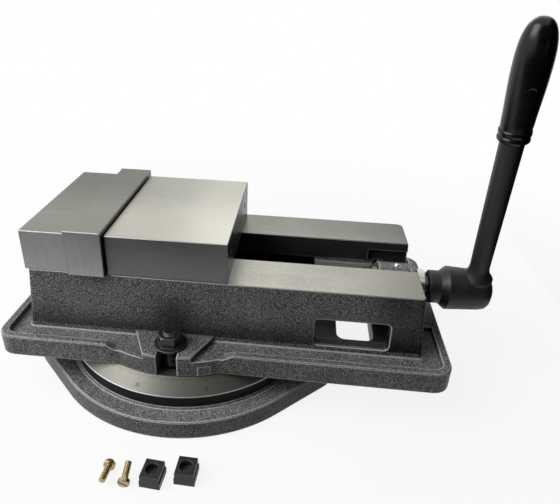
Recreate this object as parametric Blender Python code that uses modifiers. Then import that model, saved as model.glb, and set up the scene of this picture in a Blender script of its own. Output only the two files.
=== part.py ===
"""Swivel machine vise, 152 mm jaws, built in metres with +Z up.

The origin is the swivel centre on the table, +X points to the crank and -Y to the front.
"""
import math

import bmesh
import bpy
from mathutils import Matrix, Vector

# Clearances, shared rounding and how far a cutter runs past the face it opens
GAP = 0.0003
SLIDE_GAP = 0.0003
OVERCUT = 0.0100
LAP = 0.0010
EDGE = 0.0006
CAST_EDGE = 0.0010

# The inner face of the screw's bearing housing, from which the bed's right end is set out
HOUSING_X = 0.1945

# Swivel base
BASE_RADIUS = 0.1472
BASE_RIM_Z = 0.0176
BASE_DRAFT = 0.0019
EAR_CENTRE_X = 0.1340
EAR_CENTRE_Y = 0.0478
EAR_CORNER = 0.0200
DRUM_RADIUS = 0.1282
BEVEL_FOOT_Z = 0.0311
BEVEL_TOP_RADIUS = 0.1157
DRUM_TOP_Z = 0.0443
EAR_SLOT_WIDTH = 0.0165
EAR_SLOT_X = 0.1410
UNDER_RECESS_RADIUS = 0.0860
UNDER_BOSS_RADIUS = 0.0400
UNDER_RECESS = 0.0030
KEYWAY_WIDTH = 0.0163
KEYWAY_DEPTH = 0.0063
KEYWAY_X = (0.0960, 0.1350)
KEY_TAP_X = 0.1140
KEY_TAP_RADIUS = 0.0026
KEY_TAP_TOP = 0.0155

# Ring slot and clamp bolts
RING_RADIUS = 0.0965
RING_NECK = 0.0180
RING_WIDE = 0.0250
RING_FLOOR_Z = 0.0200
RING_LEDGE_Z = 0.0320
BOLT_RADIUS = 0.0070
BOLT_HEAD = 0.0220
BOLT_HEAD_HEIGHT = 0.0090
BOLT_TOP_Z = 0.0820
NUT_FLANGE_RADIUS = 0.0152
NUT_FLANGE = 0.0018
NUT_FLATS = 0.0210
NUT_TOP_Z = 0.0797
NUT_CHAMFER = 0.0016
NUT_CONE = 0.0007
NUT_ROOM = 0.0006
BOLT_CHAMFER = 0.0014

# Swivel pivot
PIVOT_RADIUS = 0.0150
PIVOT_BOTTOM_Z = 0.0120
PIVOT_TOP_Z = 0.0560

# Bed flange
BED_BOTTOM_Z = DRUM_TOP_Z + GAP
BODY_END_SET = 0.0329
BODY_X = (-0.1395, HOUSING_X + BODY_END_SET)
FLANGE_END_SET = 0.0286
FLANGE_X = (-0.1672, BODY_X[1] + FLANGE_END_SET)
FLANGE_HALF = 0.1065
FLANGE_CORNER = 0.0160
FLOOR_Z = 0.0612
RIM_Z = 0.0664
RIM_WIDTH = 0.0072
RIM_DRAFT = 0.0012
RIM_BREAK_TOP = 0.0600
RIM_BREAK_FOOT = 0.0510
ARC_RADIUS = 0.1160
BOSS_HALF_INNER = 0.0380
BOSS_HALF_OUTER = 0.0212
NOTCH_WIDTH = 0.0190
END_PAD_HALF = 0.0370
INDEX_ANGLE = math.radians(17.0)
INDEX_WIDTH = 0.0124
INDEX_Z = (0.0462, 0.0560)
INDEX_PROUD = 0.0009

# Bed body and rails
BODY_HALF = 0.0766
BODY_DRAFT = 0.0042
BODY_CORNER = 0.0035
BODY_BACK_CORNER = 0.0065
FOOT_FILLET = 0.0040
RAIL_TOP_Z = 0.1234
RAIL_UNDER_Z = 0.1000
CHANNEL_HALF = 0.02875
CHANNEL_START_X = -0.0700
CAVITY_END_SET = 0.0095
CAVITY_X = (-0.1250, HOUSING_X + CAVITY_END_SET)
CAVITY_HALF = 0.0680
WINDOW_LENGTH = 0.0690
WINDOW_END_SET = 0.0063
WINDOW_END_X = HOUSING_X + WINDOW_END_SET
WINDOW_X = (WINDOW_END_X - WINDOW_LENGTH, WINDOW_END_X)
WINDOW_Z = (0.0670, 0.0950)
WINDOW_CORNER = 0.0040
CHIP_HOLE_LENGTH = 0.0355
CHIP_HOLE_SET = 0.0040
CHIP_HOLE_END_X = HOUSING_X - CHIP_HOLE_SET
CHIP_HOLE_X = (CHIP_HOLE_END_X - CHIP_HOLE_LENGTH, CHIP_HOLE_END_X)
CHIP_HOLE_HALF = 0.0610
CHIP_HOLE_CORNER = 0.0080
SEAT_HALF = 0.0330
SEAT_TOP_Z = 0.1137
POCKET_DEPTH = 0.0080
POCKET_HALF = 0.0940
POCKET_WALL = 0.0110
POCKET_END_SET = 0.0065
POCKET_ENDS_X = (-0.1220, HOUSING_X + POCKET_END_SET)
POCKET_CORNER = 0.0080

# Jaws
JAW_WIDTH = 0.1524
FIXED_BLOCK_X = (-0.1417, -0.0977)
FIXED_BLOCK_TOP_Z = 0.1639
FIXED_PLATE_X = (-0.0974, -0.0631)
FIXED_PLATE_TOP_Z = 0.1690
FIXED_PLATE_HALF = 0.0820
MOVABLE_X = (-0.0620, 0.0504)
MOVABLE_TOP_Z = 0.1639
KEEL_X = (-0.0580, 0.0240)
KEEL_BOTTOM_Z = 0.1010
JAW_SCREW_INSET = 0.0266
JAW_SCREW_Y = BODY_HALF - JAW_SCREW_INSET
JAW_SCREW_Z = 0.1460
JAW_SCREW_RADIUS = 0.0050
JAW_SCREW_HEAD_RADIUS = 0.0080
JAW_SCREW_HEAD = 0.0100
JAW_SCREW_SOCKET = 0.0080
JAW_SCREW_SOCKET_DEPTH = 0.0050
JAW_SCREW_SUNK = 0.0012
JAW_SCREW_REACH = 0.0203
STOP_HOLE_RADIUS = 0.0036
STOP_HOLE_DEPTH = 0.0200
SET_SCREW_RADIUS = 0.0040
SET_SCREW_Z = 0.1340
SET_SCREW_START_X = 0.0225
SET_SCREW_SUNK = 0.0030
SET_SCREW_SOCKET = 0.0040
SET_SCREW_SOCKET_DEPTH = 0.0040
JAW_KEY_X = (-0.1250, -0.1090)
JAW_KEY_HALF = 0.0600
JAW_KEY_Z = (0.1180, 0.1290)

# Nut and half ball
NUT_X = (-0.0400, 0.0200)
NUT_HALF = 0.0237
NUT_Z = (0.0740, 0.1189)
NUT_WING_HALF = 0.0440
NUT_WING_BOTTOM_Z = 0.0900
NUT_END_ROOM = 0.0030
BALL_RADIUS = 0.0080
BALL_Z = 0.1125
BALL_STEPS = 6

# Lead screw and its bearing, placed along X from the housing's inner face
SCREW_Z = 0.0915
SCREW_RADIUS = 0.0120
SCREW_START_X = -0.0550
SCREW_ROOM_RADIUS = 0.0140
SCREW_CHAMFER = 0.0020
HOUSING_BLOCK_LENGTH = 0.0235
HOUSING_BLOCK_END_X = HOUSING_X + HOUSING_BLOCK_LENGTH
HOUSING_ROUND_LENGTH = 0.0311
HOUSING_ROUND_END_X = HOUSING_X + HOUSING_ROUND_LENGTH
HOUSING_SHOULDER_Z = 0.0960
HOUSING_TOP_Z = 0.1134
HOUSING_EDGE = 0.0015
HOUSING_NOSE_SET = 0.0125
HOUSING_NOSE_X = HOUSING_BLOCK_END_X - HOUSING_NOSE_SET
HOUSING_NOSE_RADIUS = 0.0271
BEARING_WIDTH = 0.0062
BEARING_X = (HOUSING_X - GAP - BEARING_WIDTH, HOUSING_X - GAP)
BEARING_RADIUS = 0.0175
SHOULDER_WIDTH = 0.0077
SHOULDER_X = (BEARING_X[0] - GAP - SHOULDER_WIDTH, BEARING_X[0] - GAP)
SHOULDER_RADIUS = 0.0155
SEAT_START_X = BEARING_X[0] - SLIDE_GAP - EDGE
JOURNAL_RADIUS = 0.0100
COLLAR_WIDTH = 0.0089
COLLAR_START_X = HOUSING_NOSE_X + HOUSING_NOSE_RADIUS + GAP
COLLAR_X = (COLLAR_START_X, COLLAR_START_X + COLLAR_WIDTH)
COLLAR_RADIUS = 0.0170
COLLAR_CHAMFER = 0.0012
DRIVE_FLATS = 0.0140
PLUG_SET = 0.0185
PLUG_X = HOUSING_X + PLUG_SET
PLUG_RADIUS = 0.0030
PLUG_PROUD = 0.0010
PLUG_CROWN = 0.0006
PLUG_DEPTH = 0.0035
PLUG_HOLE_DEPTH = 0.0040

# Crank and grip
HUB_GAP = 0.0044
HUB_START_X = COLLAR_X[1] + HUB_GAP
SLEEVE_RADIUS = 0.0168
SLEEVE_LENGTH = 0.0113
SLEEVE_END_X = HUB_START_X + SLEEVE_LENGTH
HUB_FLARE = 0.0057
HUB_X = SLEEVE_END_X + HUB_FLARE
HUB_RADIUS = 0.0223
HUB_TAPER_RADIUS = 0.0204
HUB_TAPER_LENGTH = 0.0328
HUB_TAPER_X = HUB_X + HUB_TAPER_LENGTH
HUB_NOSE_LENGTH = 0.0130
HUB_END_X = HUB_TAPER_X + HUB_NOSE_LENGTH
DRIVE_LENGTH = 0.0278
DRIVE_END_X = HUB_START_X + DRIVE_LENGTH
HUB_BORE_END_X = DRIVE_END_X + 2 * GAP
HUB_CHAMFER = 0.0010
HUB_NOSE_RADII = (0.0110, 0.0162, 0.0192)
HUB_NOSE_DROPS = (0.0010, 0.0035, 0.0070)
ARM_SET = 0.0300
ARM_X = HUB_X + ARM_SET
ARM_TURN = math.radians(8.6)
ARM_LEAN = math.radians(-2.9)
ARM_RADIUS = 0.0093
ARM_TOP_RADIUS = 0.0102
ARM_FOOT_RADIUS = 0.0147
ARM_FOOT_AT = 0.0175
ARM_FOOT_START = 0.0040
ARM_FILLET = 0.0012
ARM_FILLET_RISE = (0.0060, 0.0130)
ARM_LENGTH = 0.1667
TANG_RADIUS = 0.0060
TANG_LENGTH = 0.2320
GRIP_LENGTH = 0.0987
GRIP_RADIUS = 0.0146
GRIP_WIDEST = 0.616
GRIP_FOOT = 0.164
GRIP_FOOT_RADIUS = 0.0130
GRIP_DOME_POWER = 2.6
GRIP_SWELL_POWER = 1.5
GRIP_RING_RADIUS = 0.0134
GRIP_GROOVE_RADIUS = 0.0125

# Table keys and their screws
KEY_WIDTH = 0.0160
KEY_STEP_WIDTH = 0.0176
KEY_LENGTH = 0.0180
KEY_HEIGHT = 0.0125
KEY_STEP_Z = 0.0062
KEY_BORE_RADIUS = 0.0032
KEY_SINK_RADIUS = 0.0055
KEY_SINK_DEPTH = 0.0060
KEY_PLACES = ((0.0052, -0.1893, -4.0), (0.0322, -0.1830, -1.5))
KEY_SCREW_RADIUS = 0.0028
KEY_SCREW_LENGTH = 0.0160
KEY_SCREW_HEAD_RADIUS = 0.0050
KEY_SCREW_HEAD = 0.0038
KEY_SCREW_SLOT = 0.0013
KEY_SCREW_SLOT_DEPTH = 0.0016
KEY_SCREW_EDGE = 0.0005
KEY_SCREW_ROLL = math.radians(-38.0)
KEY_SCREW_PLACES = ((-0.0333, -0.1858, -90.0), (-0.0163, -0.1970, 94.0))

# Start from an empty scene
for old in list(bpy.data.objects):
    bpy.data.objects.remove(old, do_unlink=True)

scene = bpy.context.scene
parts = bpy.data.collections.new("swivel_machine_vise")
tools = bpy.data.collections.new("cutters")
scene.collection.children.link(parts)
scene.collection.children.link(tools)


# Materials read from the photograph
def material(name, colour, roughness, metallic):
    made = bpy.data.materials.new(name)
    made.use_nodes = True
    shader = made.node_tree.nodes["Principled BSDF"]
    shader.inputs["Base Color"].default_value = (*colour, 1.0)
    shader.inputs["Roughness"].default_value = roughness
    shader.inputs["Metallic"].default_value = metallic
    made.diffuse_color = (*colour, 1.0)
    return made


HAMMERTONE = material("hammertone_paint", (0.085, 0.088, 0.090), 0.42, 0.0)
BASE_PAINT = material("base_paint", (0.078, 0.080, 0.082), 0.45, 0.0)
GROUND = material("ground_steel", (0.46, 0.45, 0.43), 0.34, 1.0)
BLACK_OXIDE = material("black_oxide_steel", (0.030, 0.030, 0.032), 0.38, 0.6)
BRIGHT = material("turned_steel", (0.62, 0.60, 0.55), 0.30, 1.0)
SATIN_BLACK = material("satin_black_paint", (0.040, 0.041, 0.043), 0.40, 0.0)
GRIP_PLASTIC = material("gloss_black_plastic", (0.012, 0.012, 0.013), 0.18, 0.0)
BRONZE = material("nut_iron", (0.20, 0.19, 0.18), 0.50, 0.8)
ZINC = material("yellow_zinc", (0.52, 0.42, 0.23), 0.32, 1.0)
KEY_BLACK = material("blackened_key_steel", (0.022, 0.022, 0.023), 0.45, 0.5)


# Building helpers
def add(name, mesh, paint=None, home=None):
    made = bpy.data.objects.new(name, mesh)
    (home or (parts if paint else tools)).objects.link(made)
    if paint:
        mesh.materials.append(paint)
    else:
        made.hide_render = True
        made.display_type = "WIRE"
    return made


def from_bmesh(name, shape, paint=None):
    bmesh.ops.recalc_face_normals(shape, faces=shape.faces)
    mesh = bpy.data.meshes.new(name)
    shape.to_mesh(mesh)
    shape.free()
    return add(name, mesh, paint)


def block(name, xs, ys, zs, paint=None):
    shape = bmesh.new()
    bmesh.ops.create_cube(shape, size=1.0)
    size = Vector((xs[1] - xs[0], ys[1] - ys[0], zs[1] - zs[0]))
    middle = Vector((xs[0] + xs[1], ys[0] + ys[1], zs[0] + zs[1])) / 2
    bmesh.ops.scale(shape, vec=size, verts=shape.verts)
    bmesh.ops.translate(shape, vec=middle, verts=shape.verts)
    return from_bmesh(name, shape, paint)


def rod(name, radius, start, end, segments=32, paint=None, turn=0.0):
    start = Vector(start)
    end = Vector(end)
    along = end - start
    shape = bmesh.new()
    bmesh.ops.create_cone(shape, cap_ends=True, segments=segments, radius1=radius,
                          radius2=radius, depth=along.length)
    spin = Matrix.Rotation(turn, 4, "Z")
    aim = along.to_track_quat("Z", "Y").to_matrix().to_4x4()
    place = Matrix.Translation((start + end) / 2)
    bmesh.ops.transform(shape, matrix=place @ aim @ spin, verts=shape.verts)
    return from_bmesh(name, shape, paint)


def hexagon(name, flats, start, end, paint=None, turn=0.0):
    return rod(name, flats / math.sqrt(3.0), start, end, 6, paint, turn)


def loft(name, rings, paint=None):
    shape = bmesh.new()
    rows = [[shape.verts.new(point) for point in ring] for ring in rings]
    count = len(rows[0])
    for low, high in zip(rows, rows[1:]):
        for i in range(count):
            j = (i + 1) % count
            shape.faces.new((low[i], low[j], high[j], high[i]))
    shape.faces.new(list(reversed(rows[0])))
    shape.faces.new(rows[-1])
    return from_bmesh(name, shape, paint)


def settled(made):
    """The piece as it stands, as one closed skin facing outwards."""
    bpy.context.view_layer.update()
    graph = bpy.context.evaluated_depsgraph_get()
    mesh = bpy.data.meshes.new_from_object(made.evaluated_get(graph))
    made.modifiers.clear()
    made.data = mesh
    shape = bmesh.new()
    shape.from_mesh(mesh)
    bmesh.ops.remove_doubles(shape, verts=shape.verts, dist=0.000005)
    bmesh.ops.recalc_face_normals(shape, faces=shape.faces)
    shape.to_mesh(mesh)
    shape.free()
    return made


def turned(name, profile, paint=None, steps=48, closed=False):
    """A profile of (radius, height) points swept once round +Z, as on a lathe."""
    shape = bmesh.new()
    row = [shape.verts.new((radius, 0.0, height)) for radius, height in profile]
    for first, second in zip(row, row[1:]):
        shape.edges.new((first, second))
    if closed:
        shape.edges.new((row[-1], row[0]))
    mesh = bpy.data.meshes.new(name)
    shape.to_mesh(mesh)
    shape.free()
    made = add(name, mesh, paint)
    sweep = made.modifiers.new("sweep", "SCREW")
    sweep.steps = steps
    sweep.render_steps = steps
    sweep.use_merge_vertices = True
    sweep.merge_threshold = 0.00001
    sweep.use_normal_calculate = True
    return settled(made)


def lay_along_x(made, height, x=0.0, y=0.0):
    """Turns a piece made round +Z so that its axis runs along +X at the given height."""
    aim = Matrix.Translation((x, y, height)) @ Matrix.Rotation(math.radians(90.0), 4, "Y")
    made.data.transform(aim)
    return made


def boolean(target, other, operation):
    step = target.modifiers.new(operation.lower(), "BOOLEAN")
    step.operation = operation
    step.solver = "EXACT"
    step.object = other
    if other.name in parts.objects:
        parts.objects.unlink(other)
        tools.objects.link(other)
    other.hide_render = True
    other.display_type = "WIRE"
    return target


def cut(target, *others):
    for other in others:
        boolean(target, other, "DIFFERENCE")
    return target


def join(target, *others):
    for other in others:
        boolean(target, other, "UNION")
    return target


def ease(made, width=EDGE, segments=1, angle=30.0):
    step = made.modifiers.new("edges", "BEVEL")
    step.width = width
    step.segments = segments
    step.limit_method = "ANGLE"
    step.angle_limit = math.radians(angle)
    return made


def shade(made, angle=30.0):
    settled(made)
    made.data.shade_smooth()
    made.data.set_sharp_from_angle(angle=math.radians(angle))
    return made


def arc(cx, cy, radius, start, end, steps):
    angles = [start + (end - start) * i / steps for i in range(steps + 1)]
    return [(cx + radius * math.cos(a), cy + radius * math.sin(a)) for a in angles]


def rounded_outline(xs, ys, corner, steps=4, back_right=None):
    """A rectangle with rounded corners; the back right one may have its own radius."""
    quarter = math.pi / 2
    first = back_right or corner
    centres = ((xs[1] - first, ys[1] - first, first), (xs[0] + corner, ys[1] - corner, corner),
               (xs[0] + corner, ys[0] + corner, corner), (xs[1] - corner, ys[0] + corner, corner))
    points = []
    for turn, (cx, cy, radius) in enumerate(centres):
        points += arc(cx, cy, radius, turn * quarter, (turn + 1) * quarter, steps)
    return points


def at_height(points, z):
    return [(x, y, z) for x, y in points]


def inset(pair, amount):
    return (pair[0] + amount, pair[1] - amount)


def both(half):
    return (-half, half)


# Swivel base casting
def base_outline(shrink):
    radius = BASE_RADIUS - shrink
    corner = EAR_CORNER - shrink
    reach = math.hypot(EAR_CENTRE_X, EAR_CENTRE_Y)
    tangent = math.atan2(EAR_CENTRE_Y, EAR_CENTRE_X) + math.acos((radius - corner) / reach)
    half = math.pi
    points = arc(EAR_CENTRE_X, EAR_CENTRE_Y, corner, 0.0, tangent, 5)
    points += arc(0.0, 0.0, radius, tangent, half - tangent, 26)
    points += arc(-EAR_CENTRE_X, EAR_CENTRE_Y, corner, half - tangent, half, 5)
    points += [(-x, -y) for x, y in points]
    return points


base_levels = ((0.0, CAST_EDGE), (CAST_EDGE, 0.0), (BASE_RIM_Z - CAST_EDGE, BASE_DRAFT),
               (BASE_RIM_Z, BASE_DRAFT + CAST_EDGE))
swivel_base = loft("swivel_base", [at_height(base_outline(s), z) for z, s in base_levels],
                   BASE_PAINT)
drum_profile = ((0.0, DRUM_TOP_Z), (BEVEL_TOP_RADIUS, DRUM_TOP_Z), (DRUM_RADIUS, BEVEL_FOOT_Z),
                (DRUM_RADIUS, BASE_RIM_Z + 2 * CAST_EDGE),
                (DRUM_RADIUS + 2 * CAST_EDGE, BASE_RIM_Z),
                (DRUM_RADIUS + 2 * CAST_EDGE, BASE_RIM_Z / 2), (0.0, BASE_RIM_Z / 2))
drum = turned("drum", drum_profile, steps=96)
neck = both(RING_NECK / 2)
wide = both(RING_WIDE / 2)
ring_profile = ((RING_RADIUS + neck[0], DRUM_TOP_Z + LAP),
                (RING_RADIUS + neck[1], DRUM_TOP_Z + LAP),
                (RING_RADIUS + neck[1], RING_LEDGE_Z), (RING_RADIUS + wide[1], RING_LEDGE_Z),
                (RING_RADIUS + wide[1], RING_FLOOR_Z), (RING_RADIUS + wide[0], RING_FLOOR_Z),
                (RING_RADIUS + wide[0], RING_LEDGE_Z), (RING_RADIUS + neck[0], RING_LEDGE_Z))
ring_slot = turned("ring_slot", ring_profile, steps=96, closed=True)
pivot_bore = rod("base_pivot_bore", PIVOT_RADIUS + GAP, (0, 0, PIVOT_BOTTOM_Z - GAP),
                 (0, 0, DRUM_TOP_Z + OVERCUT), 48)
recess_profile = ((UNDER_BOSS_RADIUS, UNDER_RECESS), (UNDER_RECESS_RADIUS, UNDER_RECESS),
                  (UNDER_RECESS_RADIUS, -OVERCUT), (UNDER_BOSS_RADIUS, -OVERCUT))
under_recess = turned("under_recess", recess_profile, steps=48, closed=True)
join(swivel_base, drum)
cut(swivel_base, ring_slot, pivot_bore, under_recess)
for side, word in ((1, "right"), (-1, "left")):
    slot_points = arc(side * EAR_SLOT_X, 0.0, EAR_SLOT_WIDTH / 2, math.pi / 2, 1.5 * math.pi, 10)
    if side < 0:
        slot_points = arc(side * EAR_SLOT_X, 0.0, EAR_SLOT_WIDTH / 2, -math.pi / 2,
                          math.pi / 2, 10)
    far = side * (EAR_CENTRE_X + EAR_CORNER + OVERCUT)
    slot_points += [(far, -side * EAR_SLOT_WIDTH / 2), (far, side * EAR_SLOT_WIDTH / 2)]
    slot = loft("ear_slot_" + word,
                [at_height(slot_points, z) for z in (-OVERCUT, BASE_RIM_Z + OVERCUT)])
    way = sorted(side * x for x in KEYWAY_X)
    keyway = block("keyway_" + word, way, both(KEYWAY_WIDTH / 2), (-OVERCUT, KEYWAY_DEPTH))
    tap = rod("key_tap_" + word, KEY_TAP_RADIUS, (side * KEY_TAP_X, 0, 0),
              (side * KEY_TAP_X, 0, KEY_TAP_TOP), 16)
    cut(swivel_base, slot, keyway, tap)
shade(swivel_base)

pivot_profile = ((0.0, PIVOT_TOP_Z), (PIVOT_RADIUS - CAST_EDGE, PIVOT_TOP_Z),
                 (PIVOT_RADIUS, PIVOT_TOP_Z - CAST_EDGE), (PIVOT_RADIUS, PIVOT_BOTTOM_Z),
                 (0.0, PIVOT_BOTTOM_Z))
pivot_pin = shade(turned("pivot_pin", pivot_profile, BRIGHT, 48))


# Bed casting: flange with its raised rim, arcs, bosses, hollow body and rails
def flange_ring(amount, z, extra=0.0):
    xs = inset(FLANGE_X, amount)
    ys = inset(both(FLANGE_HALF), amount)
    return at_height(rounded_outline(xs, ys, FLANGE_CORNER - amount + extra, 5), z)


flange_levels = ((BED_BOTTOM_Z, CAST_EDGE), (BED_BOTTOM_Z + CAST_EDGE, 0.0),
                 (RIM_Z - CAST_EDGE, 0.0), (RIM_Z, CAST_EDGE))
vise_bed = loft("vise_bed", [flange_ring(s, z) for z, s in flange_levels], HAMMERTONE)
circle = [[(x, y, z) for x, y in arc(0.0, 0.0, ARC_RADIUS - s, 0.0, 2 * math.pi, 96)[:-1]]
          for z, s in flange_levels]
join(vise_bed, loft("arc_disc", circle))
trough = loft("trough", [flange_ring(RIM_WIDTH + RIM_DRAFT, FLOOR_Z, CAST_EDGE),
                         flange_ring(RIM_WIDTH, RIM_Z, CAST_EDGE),
                         flange_ring(RIM_WIDTH, RIM_Z + OVERCUT, CAST_EDGE)])
far_y = ARC_RADIUS + OVERCUT
break_outline = ((-RIM_BREAK_FOOT, FLOOR_Z), (RIM_BREAK_FOOT, FLOOR_Z), (RIM_BREAK_TOP, RIM_Z),
                 (RIM_BREAK_TOP, RIM_Z + OVERCUT), (-RIM_BREAK_TOP, RIM_Z + OVERCUT),
                 (-RIM_BREAK_TOP, RIM_Z))
pad_zs = (FLOOR_Z - OVERCUT, RIM_Z + 2 * OVERCUT)
join(trough, loft("rim_break", [[(x, y, z) for x, z in break_outline] for y in (-far_y, far_y)]))
for side, word in ((-1, "front"), (1, "back")):
    inner = side * (BODY_HALF - OVERCUT)
    outer = side * far_y
    slope = (BOSS_HALF_INNER - BOSS_HALF_OUTER) / (ARC_RADIUS - BODY_HALF - BODY_DRAFT)
    inner_half = BOSS_HALF_INNER + slope * (OVERCUT + BODY_DRAFT)
    outer_half = BOSS_HALF_OUTER - slope * OVERCUT
    shape = ((-inner_half, inner), (inner_half, inner), (outer_half, outer), (-outer_half, outer))
    cut(trough, loft("boss_" + word, [at_height(shape, z) for z in pad_zs]))
cut(trough, block("end_pad", (BODY_X[1] - OVERCUT, FLANGE_X[1]), both(END_PAD_HALF), pad_zs))
settled(trough)
cut(vise_bed, trough)

fillet_steps = ((-LAP, 1.0), (0.0, 1.0), (0.29, 0.29), (1.0, 0.0))
body_rings = []
for rise, spread in fillet_steps:
    low = FLOOR_Z + (rise * FOOT_FILLET if rise > 0 else rise)
    lean = BODY_DRAFT * (RAIL_TOP_Z - low) / (RAIL_TOP_Z - FLOOR_Z)
    grow = lean + spread * FOOT_FILLET
    outline = rounded_outline(inset(BODY_X, -grow), inset(both(BODY_HALF), -grow),
                              BODY_CORNER + spread * FOOT_FILLET, 4,
                              BODY_BACK_CORNER + spread * FOOT_FILLET)
    body_rings.append(at_height(outline, low))
for drop, shrink in ((CAST_EDGE, 0.0), (0.0, 0.3 * CAST_EDGE)):
    outline = rounded_outline(inset(BODY_X, shrink), inset(both(BODY_HALF), shrink),
                              BODY_CORNER, 4, BODY_BACK_CORNER)
    body_rings.append(at_height(outline, RAIL_TOP_Z - drop))
join(vise_bed, loft("bed_body", body_rings))
cut(vise_bed,
    block("cavity", CAVITY_X, both(CAVITY_HALF), (FLOOR_Z + LAP / 2, RAIL_UNDER_Z)),
    block("channel", (CHANNEL_START_X, BODY_X[1] + 2 * OVERCUT), both(CHANNEL_HALF),
          (RAIL_UNDER_Z - OVERCUT / 2, RAIL_TOP_Z + OVERCUT)),
    block("bearing_seat", (SEAT_START_X, BODY_X[1] + 2 * OVERCUT), both(SEAT_HALF),
          (RIM_Z, SEAT_TOP_Z)))
window_points = rounded_outline(WINDOW_X, WINDOW_Z, WINDOW_CORNER, 3)
windows = loft("windows", [[(x, y, z) for x, z in window_points] for y in (-far_y, far_y)])
chip_points = rounded_outline(CHIP_HOLE_X, both(CHIP_HOLE_HALF), CHIP_HOLE_CORNER, 4)
below_bed = BED_BOTTOM_Z - OVERCUT
chip_hole = loft("chip_hole", [at_height(chip_points, z) for z in (below_bed, FLOOR_Z + FOOT_FILLET)])
cut(vise_bed, windows, chip_hole)
cut(vise_bed, rod("bed_pivot_bore", PIVOT_RADIUS + GAP, (0, 0, below_bed),
                  (0, 0, PIVOT_TOP_Z + GAP), 48))
for side, word in ((-1, "front"), (1, "back")):
    half = NOTCH_WIDTH / 2
    outline = arc(0.0, side * RING_RADIUS, half, 0.0, -side * math.pi, 12)
    outline += [(-half, side * far_y), (half, side * far_y)]
    notch = loft("notch_" + word, [at_height(outline, z) for z in (below_bed, RIM_Z + OVERCUT)])
    nut_room = rod("nut_room_" + word, NUT_FLANGE_RADIUS + NUT_ROOM,
                       (0, side * RING_RADIUS, RIM_Z),
                       (0, side * RING_RADIUS, RAIL_TOP_Z + OVERCUT), 40)
    cut(vise_bed, notch, nut_room)
for xs, word in (((FLANGE_X[0] + POCKET_WALL, POCKET_ENDS_X[0]), "left"),
                 ((POCKET_ENDS_X[1], FLANGE_X[1] - POCKET_WALL), "right")):
    outline = rounded_outline(xs, both(POCKET_HALF), POCKET_CORNER, 3)
    cut(vise_bed, loft("under_pocket_" + word,
                       [at_height(outline, z) for z in (below_bed, BED_BOTTOM_Z + POCKET_DEPTH)]))
index_pad = block("index_pad", (ARC_RADIUS - RIM_WIDTH, ARC_RADIUS + INDEX_PROUD),
                  both(INDEX_WIDTH / 2), INDEX_Z)
index_pad.data.transform(Matrix.Rotation(INDEX_ANGLE - math.pi / 2, 4, "Z"))
join(vise_bed, index_pad)
cut(vise_bed, block("bed_key_slot", inset(JAW_KEY_X, -GAP), both(JAW_KEY_HALF + GAP),
                    (JAW_KEY_Z[0] - GAP, RAIL_TOP_Z + OVERCUT)))
shade(vise_bed)

# Fixed jaw: rear block, taller and wider front plate, screws and cross key
bolt_ys = (-JAW_SCREW_Y, JAW_SCREW_Y)
jaw_bottom = RAIL_TOP_Z + GAP
fixed_block = block("fixed_jaw_block", FIXED_BLOCK_X, both(BODY_HALF),
                    (jaw_bottom, FIXED_BLOCK_TOP_Z), GROUND)
fixed_plate = block("fixed_jaw_plate", FIXED_PLATE_X, both(FIXED_PLATE_HALF),
                    (jaw_bottom, FIXED_PLATE_TOP_Z), GROUND)
ease(fixed_block)
ease(fixed_plate)
cut(fixed_block, block("jaw_key_slot", inset(JAW_KEY_X, -GAP), both(JAW_KEY_HALF + GAP),
                       (RAIL_TOP_Z - OVERCUT, JAW_KEY_Z[1] + GAP)))
screw_end_x = FIXED_PLATE_X[0] + JAW_SCREW_REACH
for number, y in enumerate(bolt_ys, 1):
    through = rod("jaw_screw_hole_%d" % number, JAW_SCREW_RADIUS + GAP,
                  (FIXED_BLOCK_X[0] - OVERCUT, y, JAW_SCREW_Z), (screw_end_x + GAP, y, JAW_SCREW_Z))
    sink = rod("jaw_screw_sink_%d" % number, JAW_SCREW_HEAD_RADIUS + 2 * GAP,
               (FIXED_BLOCK_X[0] - OVERCUT, y, JAW_SCREW_Z),
               (FIXED_BLOCK_X[0] + JAW_SCREW_SUNK + JAW_SCREW_HEAD + GAP, y, JAW_SCREW_Z))
    cut(fixed_block, through, sink)
    cut(fixed_plate, through)
    head_x = FIXED_BLOCK_X[0] + JAW_SCREW_SUNK
    screw = rod("fixed_jaw_screw_%d" % number, JAW_SCREW_HEAD_RADIUS, (head_x, y, JAW_SCREW_Z),
                (head_x + JAW_SCREW_HEAD, y, JAW_SCREW_Z), 24, BLACK_OXIDE)
    join(screw, rod("jaw_screw_shank_%d" % number, JAW_SCREW_RADIUS,
                    (head_x + JAW_SCREW_HEAD / 2, y, JAW_SCREW_Z),
                    (screw_end_x, y, JAW_SCREW_Z), 20))
    cut(screw, hexagon("jaw_screw_socket_%d" % number, JAW_SCREW_SOCKET,
                       (head_x - OVERCUT, y, JAW_SCREW_Z),
                       (head_x + JAW_SCREW_SOCKET_DEPTH, y, JAW_SCREW_Z)))
    shade(screw)
shade(fixed_block)
shade(fixed_plate)
fixed_key = ease(block("fixed_jaw_key", JAW_KEY_X, both(JAW_KEY_HALF), JAW_KEY_Z, BLACK_OXIDE))
shade(fixed_key)

# Movable jaw with its keel, nut, half ball and set screw
movable_jaw = block("movable_jaw", MOVABLE_X, both(JAW_WIDTH / 2), (jaw_bottom, MOVABLE_TOP_Z),
                    GROUND)
ease(movable_jaw)
join(movable_jaw, block("keel", KEEL_X, both(CHANNEL_HALF - SLIDE_GAP),
                        (KEEL_BOTTOM_Z, jaw_bottom + OVERCUT / 2)))
cut(movable_jaw, block("nut_pocket", (NUT_X[0] - NUT_END_ROOM, NUT_X[1] + GAP),
                       both(NUT_HALF + GAP), (KEEL_BOTTOM_Z - OVERCUT, NUT_Z[1] + GAP)))
ball_x = NUT_X[0] - GAP


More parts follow.
